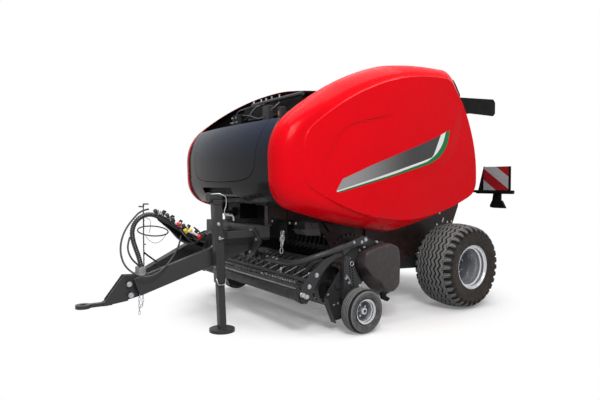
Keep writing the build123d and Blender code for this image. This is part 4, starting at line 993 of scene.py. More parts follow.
def gauge_tyre(y):
    """The small ribbed tyre: five straight grooves 7 mm deep, fine sipes across the ribs, a ring on each
    wall."""
    section = carcass([(0.108, 0.052), (0.124, 0.062), (0.15, 0.08), (0.176, 0.0825), (0.196, 0.07),
                       (0.207, 0.045), (0.21, 0.0)], 76)
    around = np.linspace(0, TAU, 336, endpoint=False)
    radius = np.broadcast_to(section[:, :1], (len(section), len(around))).copy()
    offset = np.broadcast_to(section[:, 1:], radius.shape)
    wave = np.abs((around * 70 / TAU) % 1.0 - 0.5) - 0.25
    groove = 1 - smooth_rise(np.abs(((offset + 0.004 * wave) / 0.021) % 1.0 - 0.5) * 0.021, 0.0018, 0.0042)
    crown = 1 - smooth_rise(np.abs(offset), 0.052, 0.056)
    sipe = 1 - smooth_rise(np.abs((around * 84 / TAU) % 1.0 - 0.5) * TAU * GAUGE_R / 84, 0.001, 0.0026)
    shoulder = smooth_rise(np.abs(offset), 0.05, 0.056) * smooth_rise(section[:, :1], 0.188, 0.197)
    radius -= GAUGE_TREAD * np.maximum(groove * crown, sipe * shoulder)
    ring = 0.0022 * (1 - smooth_rise(np.abs(section[:, :1] - 0.168), 0.001, 0.0045)) * (np.abs(offset) > 0.06)
    return tyre_walls(section, radius, offset * (1 + ring * 8), around, (GAUGE_X + AXLE_X, y, GAUGE_R),
                      (0.94, 0.88))


def dish(profile, spot, side, sides=144):
    """A pressed wheel part: its (radius, offset) outline swung about the axle, the offset turned to the
    side."""
    flipped = np.array(profile, float) * np.array([1, side])
    return turned(flipped, spot, sides, closed=True)


MAIN_RIM = [
    # radius, offset outwards: barrel's outer skin from flange to flange, then back along its inner skin
    (0.2425, 0.2225), (0.2405, 0.226), (0.2355, 0.2235), (0.2335, 0.217), (0.229, 0.212), (0.2125, 0.206),
    (0.2125, 0.176), (0.206, 0.17), (0.1985, 0.166), (0.1965, 0.12), (0.1925, 0.112), (0.1925, 0.01),
    (0.1925, -0.11), (0.207, -0.15), (0.2105, -0.2045), (0.229, -0.212), (0.2355, -0.2235), (0.2425, -0.2225),
    (0.2435, -0.215), (0.216, -0.201), (0.215, -0.16), (0.202, -0.12), (0.1975, -0.11), (0.1975, 0.112),
    (0.203, 0.125), (0.204, 0.165), (0.216, 0.178), (0.216, 0.201), (0.2435, 0.215),
]
MAIN_DISC = [
    (0.0355, -0.024), (0.09, -0.024), (0.118, -0.03), (0.15, -0.026), (0.172, -0.006), (0.1935, 0.004),
    (0.1935, 0.013), (0.168, 0.004), (0.148, -0.016), (0.118, -0.02), (0.09, -0.014), (0.0355, -0.014),
]
GAUGE_RIM = [
    (0.1165, 0.0645), (0.115, 0.067), (0.112, 0.0655), (0.1105, 0.06), (0.1, 0.0555), (0.0985, 0.038),
    (0.093, 0.034), (0.088, 0.018), (0.088, -0.034), (0.099, -0.042), (0.1005, -0.056), (0.112, -0.0655),
    (0.1165, -0.0645), (0.117, -0.06), (0.1025, -0.0515), (0.101, -0.036), (0.0915, -0.03), (0.0915, 0.02),
    (0.096, 0.037), (0.1015, 0.0405), (0.1025, 0.0515), (0.117, 0.06),
]
GAUGE_DISC = [
    (0.0165, -0.01), (0.04, -0.01), (0.062, -0.016), (0.089, -0.012), (0.089, -0.006), (0.062, -0.009),
    (0.04, -0.003), (0.0165, -0.003),
]


def ring_spots(spot, reach, count, offset, side):
    """Even places on a circle about the axle."""
    angle = np.linspace(0, TAU, count, endpoint=False) + 0.3
    x, y, z = spot
    return np.stack([x + reach * np.sin(angle), np.full(count, y + side * offset),
                     z + reach * np.cos(angle)], 1)


# partly painted shade: the wheel discs are dark blue-grey, darker than the silver rim, partly for their own
# paint and partly for the shade inside the deep dish
disc_grey_and_shade = charcoal_paint("disc_grey_and_shade", (0.05, 0.052, 0.06), 0.02, 0.3)
main_rubber = tyre_rubber("main_tyre_rubber", MAIN_R, 0.395, AXLE_X, MAIN_R, MAIN_TREAD,
                          (0.017, 0.013, 0.011), (MAIN_Y, 0.65, 0.009, 0.228), 0.236)
gauge_rubber = tyre_rubber("gauge_tyre_rubber", GAUGE_R, 0.188, GAUGE_X + AXLE_X, GAUGE_R, GAUGE_TREAD,
                           (0.05, 0.05, 0.051), (GAUGE_Y, 1.6, 0.006, 0.07), 0.112)
for name, side in SIDES:
    spot = (AXLE_X, side * MAIN_Y, MAIN_R)
    make(f"tyre_{name}", main_tyre(side * MAIN_Y), f"wheel_{name}", main_rubber, [f"main_tyre_{name}"], 50)
    make(f"rim_{name}", [dish(MAIN_RIM, spot, side, 180)], f"wheel_{name}", silver, [f"main_rim_{name}"], 28)
    make(f"disc_{name}", [dish(MAIN_DISC, spot, side, 180)], f"wheel_{name}", disc_grey_and_shade, (), 28,
         slot="rim_paint")
    hub = [(0.0352, -0.065), (0.094, -0.06), (0.095, -0.03), (0.076, -0.012), (0.072, 0.03), (0.066, 0.042),
           (0.0352, 0.045)]
    cap = [(0.0, 0.088), (0.03, 0.086), (0.04, 0.078), (0.043, 0.046), (0.0352, 0.043), (0.0352, 0.06),
           (0.0, 0.064)]
    make(f"hub_{name}", [dish(hub, spot, side, 72)], f"wheel_{name}", charcoal, (), 30)
    cap_grid, _, _ = turned(np.array(cap) * np.array([1, side]), spot, 48)
    make(f"hub_cap_{name}", [(cap_grid, False, True)], f"wheel_{name}", charcoal, (), 30)
    make(f"wheel_nuts_{name}", [bolts(ring_spots(spot, 0.109, 8, -0.019, side), (0, side, 0), 0.017)],
         f"wheel_{name}", zinc)
    valve = ring_spots(spot, 0.185, 1, 0.03, side)[0]
    make(f"valve_stem_{name}", [tube([valve, valve + np.array([0, side * 0.03, 0])], 0.005, 12, (0, 0, 1))],
         f"wheel_{name}", zinc)

    spot = (GAUGE_X + AXLE_X, side * GAUGE_Y, GAUGE_R)
    make(f"gauge_wheel_tyre_{name}", gauge_tyre(side * GAUGE_Y), f"gauge_wheel_{name}", gauge_rubber,
         [f"gauge_tyre_{name}"], 50)
    hub = [(0.0165, -0.045), (0.033, -0.045), (0.034, 0.03), (0.029, 0.04), (0.0165, 0.044)]
    make(f"gauge_wheel_rim_{name}", [dish(GAUGE_RIM, spot, side, 120), dish(hub, spot, side, 48)],
         f"gauge_wheel_{name}", silver, [f"gauge_rim_{name}"], 28)
    make(f"gauge_disc_{name}", [dish(GAUGE_DISC, spot, side, 120)], f"gauge_wheel_{name}", disc_grey_and_shade, (), 28,
         slot="rim_paint")
    make(f"gauge_nuts_{name}", [bolts(ring_spots(spot, 0.052, 5, -0.005, side), (0, side, 0), 0.0085)],
         f"gauge_wheel_{name}", zinc)

# ---- hoses ----------------------------------------------------------------------------------------------
# Each route's points are the hose's control points, in metres from the axle.
CONDUIT_ROUTE = [
    (2.334, -0.055, 0.9), (2.45, -0.055, 0.892), (2.56, -0.057, 0.85), (2.662, -0.058, 0.795),
    (2.77, -0.057, 0.792), (2.856, -0.056, 0.848), (2.92, -0.055, 0.926), (2.984, -0.055, 0.996),
    (3.052, -0.055, 1.06), (3.134, -0.056, 1.09), (3.218, -0.057, 1.074), (3.284, -0.058, 1.018),
    (3.314, -0.058, 0.936), (3.306, -0.056, 0.848), (3.28, -0.054, 0.764), (3.252, -0.05, 0.682),
    (3.232, -0.048, 0.594),
]
OUTER_ROUTE = [
    (3.142, -0.092, 1.134), (3.218, -0.072, 1.126), (3.3, -0.042, 1.058), (3.39, 0.0, 0.961),
    (3.441, 0.03, 0.851), (3.456, 0.066, 0.74), (3.43, 0.11, 0.632), (3.356, 0.158, 0.56),
    (3.262, 0.204, 0.528), (3.158, 0.222, 0.56), (3.06, 0.214, 0.64), (2.978, 0.18, 0.728),
    (2.918, 0.132, 0.812), (2.89, 0.098, 0.88),
]
INNER_ROUTE = [
    (3.334, -0.052, 0.88), (3.362, -0.036, 0.812), (3.362, -0.012, 0.738), (3.33, 0.008, 0.668),
    (3.282, 0.016, 0.622), (3.262, 0.018, 0.594),
]


def hose_curve(name, route, radius):
    """A smooth spline of order 3 through its route, from end to end."""
    curve = bpy.data.curves.new(name, "CURVE")
    curve.dimensions = "3D"
    line = curve.splines.new("NURBS")
    points = row(route)
    line.points.add(len(points) - 1)
    line.points.foreach_set("co", np.c_[points, np.ones(len(points))].ravel())
    line.order_u = 3
    line.use_endpoint_u = True
    line.resolution_u = 12
    curve.bevel_depth = radius
    curve.bevel_resolution = 5
    curve.use_fill_caps = True
    return curve


def curve_points(curve):
    """The points along a curve that has no thickness."""
    holder = bpy.data.objects.new("line_reader", curve)
    bpy.context.scene.collection.objects.link(holder)
    bpy.context.view_layer.update()
    line = bpy.data.meshes.new_from_object(holder.evaluated_get(bpy.context.evaluated_depsgraph_get()))
    points = np.empty(len(line.vertices) * 3)
    line.vertices.foreach_get("co", points)
    bpy.data.objects.remove(holder)
    bpy.data.meshes.remove(line)
    return points.reshape(-1, 3)


def wrapped_hose(path, radius, rib, pitch):
    """A hose in spiral wrapping: its radius drops by rib between turns of a helix of the given pitch, whose
    phase is the length along the path over the pitch, less the angle round it."""
    length = np.linalg.norm(np.diff(path, axis=0), axis=1).sum()
    count = int(length / pitch * 7)
    line = resampled(path, count)
    grid, _, _ = tube(line, radius, 20, (0, 1, 0))
    angle = np.arange(20) / 20
    phase = (np.arange(count)[:, None] * length / (count - 1) / pitch - angle) % 1.0
    dent = rib * (1 - smooth_rise(np.abs(phase - 0.5), 0.06, 0.2))
    ring = grid[1:-1]
    middle = line[:, None]
    grid = np.concatenate([grid[:1], ring + (middle - ring) * (dent / radius)[..., None], grid[-1:]])
    return grid, False, True


conduit_line = curve_points(hose_curve("conduit_line", CONDUIT_ROUTE, 0.0))
conduit = make("hose_bundle", [wrapped_hose(conduit_line, 0.023, 0.0035, 0.02)], "chassis", guard_black,
               ["conduit"], 60)
outer_hose = placed("outer_loop_hose", hose_curve("outer_loop_hose", OUTER_ROUTE, 0.0085), "chassis",
                    hose_black, ["outer_hose"])
inner_hose = placed("inner_loop_hose", hose_curve("inner_loop_hose", INNER_ROUTE, 0.0085), "chassis",
                    hose_black, ["inner_hose"])

# ---- plates, mouldings and small fittings ---------------------------------------------------------------
def soft(outline, width, count=96):
    """A closed outline at even steps, its corners rounded over a width."""
    loop = np.array([*outline, outline[0]], float)
    length = np.linalg.norm(np.diff(loop, axis=0), axis=1).sum()
    return loop_eased(resampled(loop, count + 1)[:-1], width / length)


def flats(name, sheets, body, finish, nodes=(), edge=0.0015, holes=None, slot=None):
    """Flat plates in one mesh, from (outline, low, high, axis): the outline in the two other coordinates
    makes a many-sided face at either level of the axis, and quads close the rim between them."""
    points, faces, base = [], [], 0
    for outline, low, high, axis in sheets:
        outline = np.asarray(outline, float)
        n = len(outline)
        block = np.zeros((2, n, 3))
        block[..., [k for k in range(3) if k != axis]] = outline
        block[..., axis] = [[low], [high]]
        points.append(row(block.reshape(-1, 3)))
        k = np.arange(n)
        faces += [(base + k).tolist(), (base + n + k).tolist()]
        faces += (base + np.stack([k, (k + 1) % n, n + (k + 1) % n, n + k], 1)).tolist()
        base += 2 * n
    mesh = bpy.data.meshes.new(name)
    mesh.from_pydata(np.concatenate(points).tolist(), [], faces)
    work = bmesh.new()
    work.from_mesh(mesh)
    bmesh.ops.recalc_face_normals(work, faces=work.faces)
    work.to_mesh(mesh)
    work.free()
    piece = placed(name, mesh, body, finish, nodes, slot)
    if holes:
        cut(piece, holes)
    piece.data.shade_smooth()
    piece.data.set_sharp_from_angle(angle=SHARP)
    if edge:
        rounded_edges(piece, edge)
    return piece


def pins(spots, radius, low, high, axis=1, sides=16):
    """Round bars between two levels of an axis, at places in the two other coordinates."""
    grids = []
    for spot in spots:
        middle = np.insert(np.array(spot, float), axis, 0.0)
        grids.append(turned(oblong(0, low, radius, high), row(middle), sides, axis=axis))
    return grids


def turned_post(profile, spots, direction, sides=16):
    """One small turned shape of (radius, height) pairs set down at several places."""
    angle = np.linspace(0, TAU, sides, endpoint=False)
    radius, height = np.array(profile, float).T
    shape = np.stack([radius[:, None] * np.cos(angle), radius[:, None] * np.sin(angle),
                      np.broadcast_to(height[:, None], (len(radius), sides))], -1)
    return copies(shape, row(spots), direction)


def rod(points, radius, count=40, ease=0.012, sides=10):
    """A bent round bar through its points, the bends eased."""
    return tube(row(eased(points, count, ease)), radius, sides, SLANT)


def moulding(outline, levels, axis=1, back=None, blend=0.1):
    """A closed moulding: the outline is drawn in along its own normal by each (level, inset) in turn, then
    shrunk on to its middle at both ends. With a back outline, that one passes into the first over the
    blend's depth."""
    outline = np.asarray(outline, float)
    along = unit(np.roll(outline, -1, 0) - np.roll(outline, 1, 0))
    area = (outline[:, 0] * np.roll(outline[:, 1], -1) - outline[:, 1] * np.roll(outline[:, 0], -1)).sum()
    inward = np.stack([-along[:, 1], along[:, 0]], 1) * np.sign(area)
    share = [1.0 if back is None else min(1.0, (level - levels[0][0]) / blend) for level, _ in levels]
    back = outline if back is None else back
    rows = [(level, back + (outline - back) * s + inward * inset) for (level, inset), s in zip(levels, share)]
    middle = outline.mean(0)
    for k in (0.7, 0.4, 0.0):
        rows.insert(0, (rows[0][0], middle + (rows[0][1] - middle) * k ** 0.5))
        rows.append((rows[-1][0], middle + (rows[-1][1] - middle) * k ** 0.5))
    grid = np.zeros((len(rows), len(outline), 3))
    for k, (level, loop) in enumerate(rows):
        grid[k][:, [n for n in range(3) if n != axis]] = loop
        grid[k, :, axis] = level
    return row(grid.reshape(-1, 3)).reshape(grid.shape), False, True


def mirrored(grids):
    """Grids and their mirror images across the machine's middle plane."""
    return grids + [(grid * np.array([1, -1, 1]), wrap_u, wrap_v) for grid, wrap_u, wrap_v in grids]


def both_sides(sheets):
    """Plates across Y and their mirror images."""
    return sheets + [(outline, -high, -low, axis) for outline, low, high, axis in sheets]


def spiral(start, end, radius, turns, wire, steps=10):
    """A coil spring lying from start to end: a helix of so many turns, as a thin bar."""
    start, end = np.array(start, float), np.array(end, float)
    t = np.linspace(0, 1, int(turns * steps))[:, None]
    frame_u, frame_v, _ = facing(end - start)[0]
    line = start + (end - start) * t + radius * (np.cos(TAU * turns * t) * frame_u + np.sin(TAU * turns * t)
                                                 * frame_v)
    return tube(row(line), wire, 6, SLANT)


black_steel = charcoal_paint("black_steel", (0.0035, 0.0035, 0.004), 0.003, 0.5)
beam_finish = charcoal_paint("beam_paint", (0.03, 0.03, 0.032), 0.012, 0.34)
pale_steel = worn_steel("pale_steel", (0.3, 0.3, 0.31), (0.52, 0.52, 0.54))

for node, finish, edge in (("axle_frame", charcoal, 0.003), ("tailgate_frame", charcoal, 0.002),
                           ("takeup_arms", black_steel, 0.002), ("light_beam", black_steel, 0.002),
                           ("drawbar_beams", beam_finish, 0.006), ("hitch_tongue", beam_finish, 0.003),
                           ("jack_leg", charcoal, 0.003), ("cover_rail", charcoal_dull, 0),
                           ("gearbox", black_steel, 0.004), ("feed_channel", dark_steel, 0),
                           ("coupler_rack", charcoal_dull, 0), ("chamber_walls", umber, 0.002),
                           ("tailgate_walls", umber, 0.002), ("bay_equipment", black_steel, 0.003),
                           ("stripper_bands", charcoal, 0)):
    dressed(node, finish, edge)
beam_ends = mirrored([brick((2.15 + AXLE_X, 0.605, 0.82), (2.45 + AXLE_X, 0.9, 0.99))])
# painted shade: the front frame is painted near black above 0.985 m and below 0.875 m
dressed("front_frame", charcoal_paint("front_frame_paint_and_shade", (0.028, 0.028, 0.03), 0.01, 0.4, (0.875, 0.985)),
        0.003, beam_ends)

JACK_LEAN, JACK_X, JACK_Y, JACK_HALF = 0.045, 2.64, 0.47, 0.0425


def leaning(grids):
    """Grids leaned forward with height, as the jack stands."""
    return [(grid + np.array([JACK_LEAN, 0, 0]) * grid[..., 2:], wrap_u, wrap_v) for grid, wrap_u,
            wrap_v in grids]


leg = next(o for o in bpy.context.scene.objects if o.name == "jack_leg_dressed").data
heights = np.empty(len(leg.vertices) * 3)
leg.vertices.foreach_get("co", heights)
heights[::3] += JACK_LEAN * heights[2::3]
leg.vertices.foreach_set("co", heights)

# jack: square tube with a round head, a folding crank and its pins
square = soft(oblong(JACK_X - JACK_HALF, JACK_Y - JACK_HALF, JACK_X + JACK_HALF, JACK_Y + JACK_HALF),
              0.006, 64)
jack_grids = [moulding(square, [(0.463, 0.0), (0.466, -0.001), (1.196, 0.0), (1.2, 0.002)], 2),
              moulding(square, [(1.188, -0.004), (1.192, -0.007), (1.226, -0.007), (1.23, -0.004)], 2)]
head = [(0, -0.062), (0.038, -0.062), (0.046, -0.056), (0.046, 0.05), (0.05, 0.054), (0.05, 0.066),
        (0.044, 0.07), (0.02, 0.07), (0, 0.068)]
jack_grids.append(turned(head, row([(JACK_X + 0.008, 0.458, 1.25)])[0], 40, axis=0))
make("jack_post", leaning(jack_grids), "chassis", charcoal, ["jack_tube"], 30)
crank = [(2.75, 0.49, 1.284), (2.69, 0.53, 1.29), (2.63, 0.545, 1.262), (2.628, 0.545, 1.185),
         (2.652, 0.545, 1.122), (2.64, 0.545, 1.098)]
make("jack_crank", [rod(crank, 0.005), rod([(2.64, 0.532, 1.1), (2.56, 0.532, 1.085)], 0.012, 12),
                    rod([(2.565, 0.53, 1.088), (2.549, 0.53, 1.075), (2.546, 0.53, 1.035)], 0.01, 14)],
     "chassis", zinc)
make("jack_pins", leaning([bolts(row([(2.647, 0.513, 1.01), (2.64, 0.513, 0.878)]), (0, 1, 0), 0.011),
                   rod([(2.6, 0.505, 0.873), (2.6, 0.54, 0.88), (2.665, 0.54, 0.874)], 0.006, 16),
                   bolts(row([(2.6835, 0.47, 0.61)]), (1, 0, 0), 0.009)]), "chassis", zinc)
make("jack_clip", leaning([rod([(2.69, 0.505, 0.508), (2.688, 0.523, 0.48), (2.682, 0.523, 0.448),
                                (2.61, 0.523, 0.447), (2.604, 0.523, 0.5)], 0.005, 30)]), "chassis", zinc)

# boot over the pick-up drive
BOOT = soft([(1.479, 0.728), (1.371, 0.755), (1.164, 0.799), (1.047, 0.752), (1.026, 0.64), (1.034, 0.37),
             (1.127, 0.305), (1.225, 0.336), (1.29, 0.422), (1.431, 0.512), (1.497, 0.6)], 0.026, 150)
BOOT_BACK = soft([(1.462, 0.728), (1.38, 0.745), (1.2, 0.79), (1.1, 0.775), (1.03, 0.66), (1.036, 0.38),
                  (1.1, 0.3), (1.15, 0.246), (1.2, 0.262), (1.341, 0.35), (1.441, 0.452), (1.509, 0.575),
                  (1.519, 0.64)], 0.02, 150)
boot_levels = [(1.056, 0.006), (1.06, 0.0), (1.075, -0.003), (1.095, -0.005), (1.12, -0.006), (1.15, -0.005),
               (1.1655, 0.0), (1.174, 0.003), (1.179, 0.007), (1.1818, 0.013), (1.183, 0.021)]
make("drive_boot", mirrored([moulding(BOOT, boot_levels, back=BOOT_BACK)]), "pickup", satin_cover,
     ["drive_covers"], 60)
foot = soft([(1.235, 0.345), (1.15, 0.315), (1.16, 0.262), (1.108, 0.24), (1.112, 0.226), (1.142, 0.206),
             (1.212, 0.24)], 0.006, 40)
flats("boot_foot", both_sides([(foot, 1.085, 1.115, 1)]), "pickup", black_steel)
make("boot_screws", mirrored([bolts(row([(1.264, 1.085, 0.806), (1.437, 1.088, 0.771), (1.582, 1.049, 0.668),
                                         (1.457, 1.049, 0.735)]), (0.1, 0.6, 0.8), 0.011)]), "pickup", zinc)

# gauge wheel plates
GAUGE_PLATE = soft([(1.696, 0.692), (1.652, 0.705), (1.615, 0.662), (1.545, 0.52), (1.478, 0.382),
                    (1.5, 0.27), (1.56, 0.19), (1.6, 0.176), (1.66, 0.2), (1.716, 0.273), (1.706, 0.4)],
                   0.01, 110)
rows_of_holes = np.concatenate([np.linspace((1.634, 0.604), (1.614, 0.398), 9),
                                np.linspace((1.604, 0.59), (1.584, 0.408), 8)])
flats("gauge_plates", [(GAUGE_PLATE, 1.101, 1.115, 1)], "pickup", charcoal, (), 0.0015,
      pins(rows_of_holes, 0.0085, 1.09, 1.13) + pins([(1.624, 0.636)], 0.013, 1.09, 1.13))
flats("gauge_plates_right", [(GAUGE_PLATE, -1.115, -1.101, 1)], "pickup", charcoal, (), 0.0015,
      pins(rows_of_holes, 0.0085, -1.13, -1.09))
flats("gauge_plate_backs", both_sides([([(1.59, 0.66), (1.66, 0.66), (1.65, 0.37), (1.56, 0.37)], 1.098, 1.1,
                                        1)]), "pickup", black_steel, (), 0)
flats("gauge_plate_rims", both_sides([(soft([(1.7, 0.69), (1.712, 0.64), (1.708, 0.45),
                                      (1.716, 0.3), (1.709, 0.3), (1.7, 0.45), (1.704, 0.64)], 0.003, 110),
                                      1.09, 1.128, 1)]), "pickup", charcoal)
stub = [(0, 1.095), (0.03, 1.095), (0.03, 1.15), (0.0155, 1.156), (0.0155, 1.288), (0, 1.29)]
make("gauge_stubs", mirrored([turned(stub, row([(1.6, 0, 0.21)])[0], 32)]), "pickup", charcoal,
     ["gauge_arms"], 30, slot="steel")
make("gauge_plate_bolts", mirrored([
    bolts(row([(1.677, 1.116, 0.5), (1.64, 1.116, 0.452), (1.512, 1.116, 0.405)]), (0, 1, 0), 0.012),
    rod([(1.69, 1.128, 0.53), (1.668, 1.132, 0.505), (1.64, 1.13, 0.47), (1.628, 1.124, 0.436)], 0.007, 20)]),
     "pickup", zinc)
ring = np.linspace(0, TAU, 28)
make("gauge_rings", [rod(np.stack([1.612 + 0.02 * np.cos(ring), np.full(28, 1.122),
                                   0.628 + 0.02 * np.sin(ring)], 1), 0.004, 40, 0.002)], "pickup",
     pale_steel)

# pick-up side plates, cross tube and stays
PICKUP_SIDE = [(1.13, 0.8), (1.27, 0.815), (1.44, 0.88), (1.48, 0.8), (1.59, 0.735), (1.635, 0.686),
               (1.685, 0.574), (1.749, 0.493), (1.822, 0.401), (1.884, 0.315), (1.866, 0.249), (1.794, 0.087),
               (1.684, 0.098), (1.6, 0.16), (1.56, 0.23), (1.42, 0.42), (1.16, 0.68)]
flats("pickup_sides", both_sides([(soft(PICKUP_SIDE, 0.007, 160), 1.04, 1.048, 1),
                                  (oblong(1.61, 0.3, 1.7, 0.46), 1.047, 1.097, 1),
                                  (oblong(1.29, 0.64, 1.35, 0.7), 1.047, 1.062, 1),
                                  ([(1.876, 0.318), (1.886, 0.316), (1.868, 0.248), (1.797, 0.086),
                                    (1.788, 0.092), (1.858, 0.252)], 1.04, 1.112, 1)]), "pickup", charcoal,
      ["pickup_frame"], 0.0012)
make("pickup_tubes", [*pins([(1.475, 0.33)], 0.035, -1.041, 1.041, 1, 32),
                      *mirrored(pins([(1.73, 0.42)], 0.03, 1.01, 1.062, 1, 24)),
                      *mirrored(pins([(1.42, 0.84)], 0.0135, 1.046, 1.096, 1, 24))],
     "pickup", charcoal, (), 30)
make("pickup_side_bolts", mirrored([bolts(row([(1.834, 1.048, 0.345), (1.765, 1.048, 0.24),
                                               (1.716, 1.048, 0.25), (1.64, 1.048, 0.6)]), (0, 1, 0), 0.01),
                                    bolts(row([(1.42, 1.096, 0.84)]), (0, 1, 0), 0.014)]), "pickup", zinc)

# windguard: arms, hinge boxes, bow, rail, slat, springs and fingers
ARM = soft([(1.66, 0.73), (1.769, 0.728), (1.902, 0.688), (1.985, 0.624), (2.066, 0.575), (2.14, 0.48),
            (2.168, 0.43), (2.172, 0.34), (2.11, 0.296), (2.062, 0.345), (1.992, 0.47), (1.954, 0.534),
            (1.858, 0.632), (1.76, 0.69), (1.66, 0.7)], 0.012, 120)
HINGE_BOX = soft([(1.7, 0.806), (1.527, 0.853), (1.479, 0.866), (1.4, 0.876), (1.374, 0.83), (1.386, 0.79),
                  (1.508, 0.79), (1.603, 0.766), (1.69, 0.7)], 0.008, 90)
END_PLATE = soft([(2.232, 0.424), (2.207, 0.433), (2.118, 0.356), (2.1, 0.31), (2.139, 0.3), (2.222, 0.345)],
                 0.006, 50)
flats("windguard_arms", both_sides([(ARM, 1.076, 1.084, 1), (HINGE_BOX, 1.0745, 1.098, 1),
                                    (END_PLATE, 1.058, 1.064, 1)]), "windguard", charcoal,
      ["windguard_frame"], 0.002)
bow = [(1.575, 1.085, 0.808), (1.68, 1.078, 0.782), (1.86, 1.055, 0.737), (1.985, 1.0, 0.696),
       (2.058, 0.925, 0.657), (2.094, 0.82, 0.634), (2.1, 0.68, 0.628)]
bow = bow + [(x, -y, z) for x, y, z in bow[::-1]]
guard_grids = [rod(bow, 0.029, 170, 0.045, 24), *pins([(2.085, 0.455)], 0.012, -1.077, 1.077),
               *mirrored(pins([(2.15, 0.365)], 0.0175, 1.028, 1.077))]
make("windguard_bow", guard_grids, "windguard", beam_finish, (), 30)
rail = [(2.042, 0.512), (2.062, 0.512), (2.062, 0.478), (2.057, 0.478), (2.057, 0.507), (2.042, 0.507)]
slat = [(2.128, 0.462), (2.133, 0.462), (2.136, 0.424), (2.131, 0.424)]
notches = [brick((2.11 + AXLE_X, y, 0.448), (2.15 + AXLE_X, y + 0.022, 0.48), 0.001)
           for y in np.arange(-0.93, 0.92, 0.205)]
flats("windguard_rail", [(rail, -1.076, 1.076, 1)], "windguard", beam_finish, (), 0.0008)
flats("windguard_slat", [(slat, -1.04, 0.985, 1)], "windguard", charcoal, (), 0.0008, notches)
wear = [(2.136, 0.431), (2.1395, 0.431), (2.1415, 0.418), (2.138, 0.418)]
flats("windguard_wear_strip", [(wear, -1.0, 0.96, 1)], "windguard", crop_steel, (), 0.0005)
make("windguard_springs", [spiral((2.085, -1.0, 0.466), (2.085, 0.9, 0.466), 0.015, 62, 0.003, 9)],
     "windguard", zinc, (), 60)
finger_ys = np.arange(-0.9, 0.95, 0.15)
fingers = np.stack([np.stack([np.array([2.04, 1.95, 1.845]), np.full(3, y), np.array([0.5, 0.532, 0.572])], 1)
                    for y in finger_ys])
make("windguard_fingers", [rod(finger, 0.0045, 8, 0.01, 6) for finger in fingers], "windguard", pale_steel)
hinge_post = [(0, 0), (0.02, 0), (0.022, 0.01), (0.015, 0.016), (0.022, 0.022), (0.02, 0.034), (0, 0.036)]
make("windguard_bolts", mirrored([
    bolts(row([(1.996, 1.0845, 0.552), (2.078, 1.0845, 0.456)]), (0, 1, 0), 0.015),
    bolts(row([(1.568, 1.0985, 0.822), (1.47, 1.0985, 0.82)]), (0, 1, 0), 0.011),
    turned_post(hinge_post, [(2.12, 1.084, 0.372), (2.16, 1.084, 0.392)], (0.1, 1, 0.1)),
    bolts(row([(2.11, 0.409, 0.655), (2.113, 0.595, 0.652), (2.108, 0.524, 0.657)]), (0.3, 0, 0.95), 0.011),
]), "windguard", zinc)
lug = [(2.06, 0.62), (2.145, 0.615), (2.15, 0.668), (2.1, 0.69), (2.062, 0.672)]
lug_ys = (-0.209, -0.008, 0.158, 0.217, 0.33, 0.372)
flats("bow_lugs", [(soft(lug, 0.006, 40), y, y + 0.007, 1) for y in lug_ys]
      + [(oblong(2.085, -0.21, 2.132, 0.0), 0.65, 0.656, 2),
         (oblong(2.085, 0.16, 2.132, 0.375), 0.652, 0.658, 2)],
      "windguard", charcoal, (), 0.001)

# crop roller and pick-up reel
roll = [(0.019, -1.05), (0.041, -1.05), (0.045, -1.044), (0.045, 1.044), (0.041, 1.05), (0.019, 1.05)]
make("crop_roller_tube", [turned(roll, row([(2.15, 0, 0.365)])[0], 48, closed=True)], "roller", charcoal_dull,
     ["crop_roller"], 30, slot="steel")
tine_ys = np.arange(-0.93, 0.94, 0.0845)
tine = np.array([(0.1, 0.008), (0.128, 0.01), (0.15, 0.014), (0.168, 0.028)])
bars = np.radians([45, 135, 225, 315])
tine_lines = [np.stack([1.73 + tine[:, 0] * np.cos(a) - tine[:, 1] * np.sin(a), np.full(4, y),
                        0.42 + tine[:, 0] * np.sin(a) + tine[:, 1] * np.cos(a)], 1) for a in bars
              for y in tine_ys]
make("pickup_tines", [tube(row(line), 0.0032, 5, (0, 1, 0)) for line in tine_lines], "reel", dark_steel)

# hitch: bolts, safety chain, hose holder wires
make("hitch_bolts", [bolts(row([(3.378, 0.066, 0.458), (3.363, 0.066, 0.354)]), (0, 1, 0), 0.017),
                     bolts(row([(3.378, -0.066, 0.458), (3.363, -0.066, 0.354)]), (0, -1, 0), 0.017)],
     "chassis", zinc)
links = [chain(row([(3.276, 0.05, 0.352), (3.286, 0.052, 0.29), (3.283, 0.052, 0.232), (3.283, 0.05, 0.16)]),
               0.03, 0.0028, 0.018),
         chain(row([(3.248, 0.05, 0.34), (3.25, 0.052, 0.29), (3.256, 0.052, 0.238), (3.278, 0.05, 0.226)]),
               0.03, 0.0028, 0.018)]
make("safety_chain", links, "chassis", zinc)
turn = np.linspace(0, TAU, 73)
hoop = np.stack([3.128 + 0.14 * np.cos(turn), -0.012 + 0.14 * np.sin(turn), 0.93 - 0.036 * np.sin(turn)], 1)
stand = [rod([(3.19, -0.1, 0.585), (3.19, -0.1, 1.19)], 0.0055, 12), rod(hoop, 0.0065, 90, 0.001),
         rod([(3.14, -0.1, 1.184), (3.188, -0.1, 1.185), (3.188, -0.1, 1.158), (3.235, -0.1, 1.163)], 0.007,
             30, 0.004), rod([(3.19, -0.1, 0.8), (3.185, -0.062, 0.8)], 0.006, 6)]
make("hose_stand_hoop", stand, "chassis", dark_steel, ["hose_stand"])
holder = [rod([(3.206, -0.05, 0.726), (3.14, -0.055, 0.672), (3.076, -0.062, 0.622)], 0.008, 12)]
make("hose_holder", holder, "chassis", black_steel)
t = np.linspace(0, 1, 26)
hanging = np.stack([3.186 + (2.982 - 3.186) * t, np.full(26, -0.06), 0.886 - 0.08
                    * np.sin(np.pi * t) ** 0.8], 1)
make("holder_loop", [rod([(3.193, -0.06, 1.062), (3.159, -0.06, 1.046), (3.133, -0.06, 1.03),
                          (3.134, -0.06, 0.976), (3.147, -0.06, 0.908)], 0.0022, 30, sides=6),
                     tube(row(hanging), 0.0022, 6, (0, 1, 0))], "chassis", dark_steel)
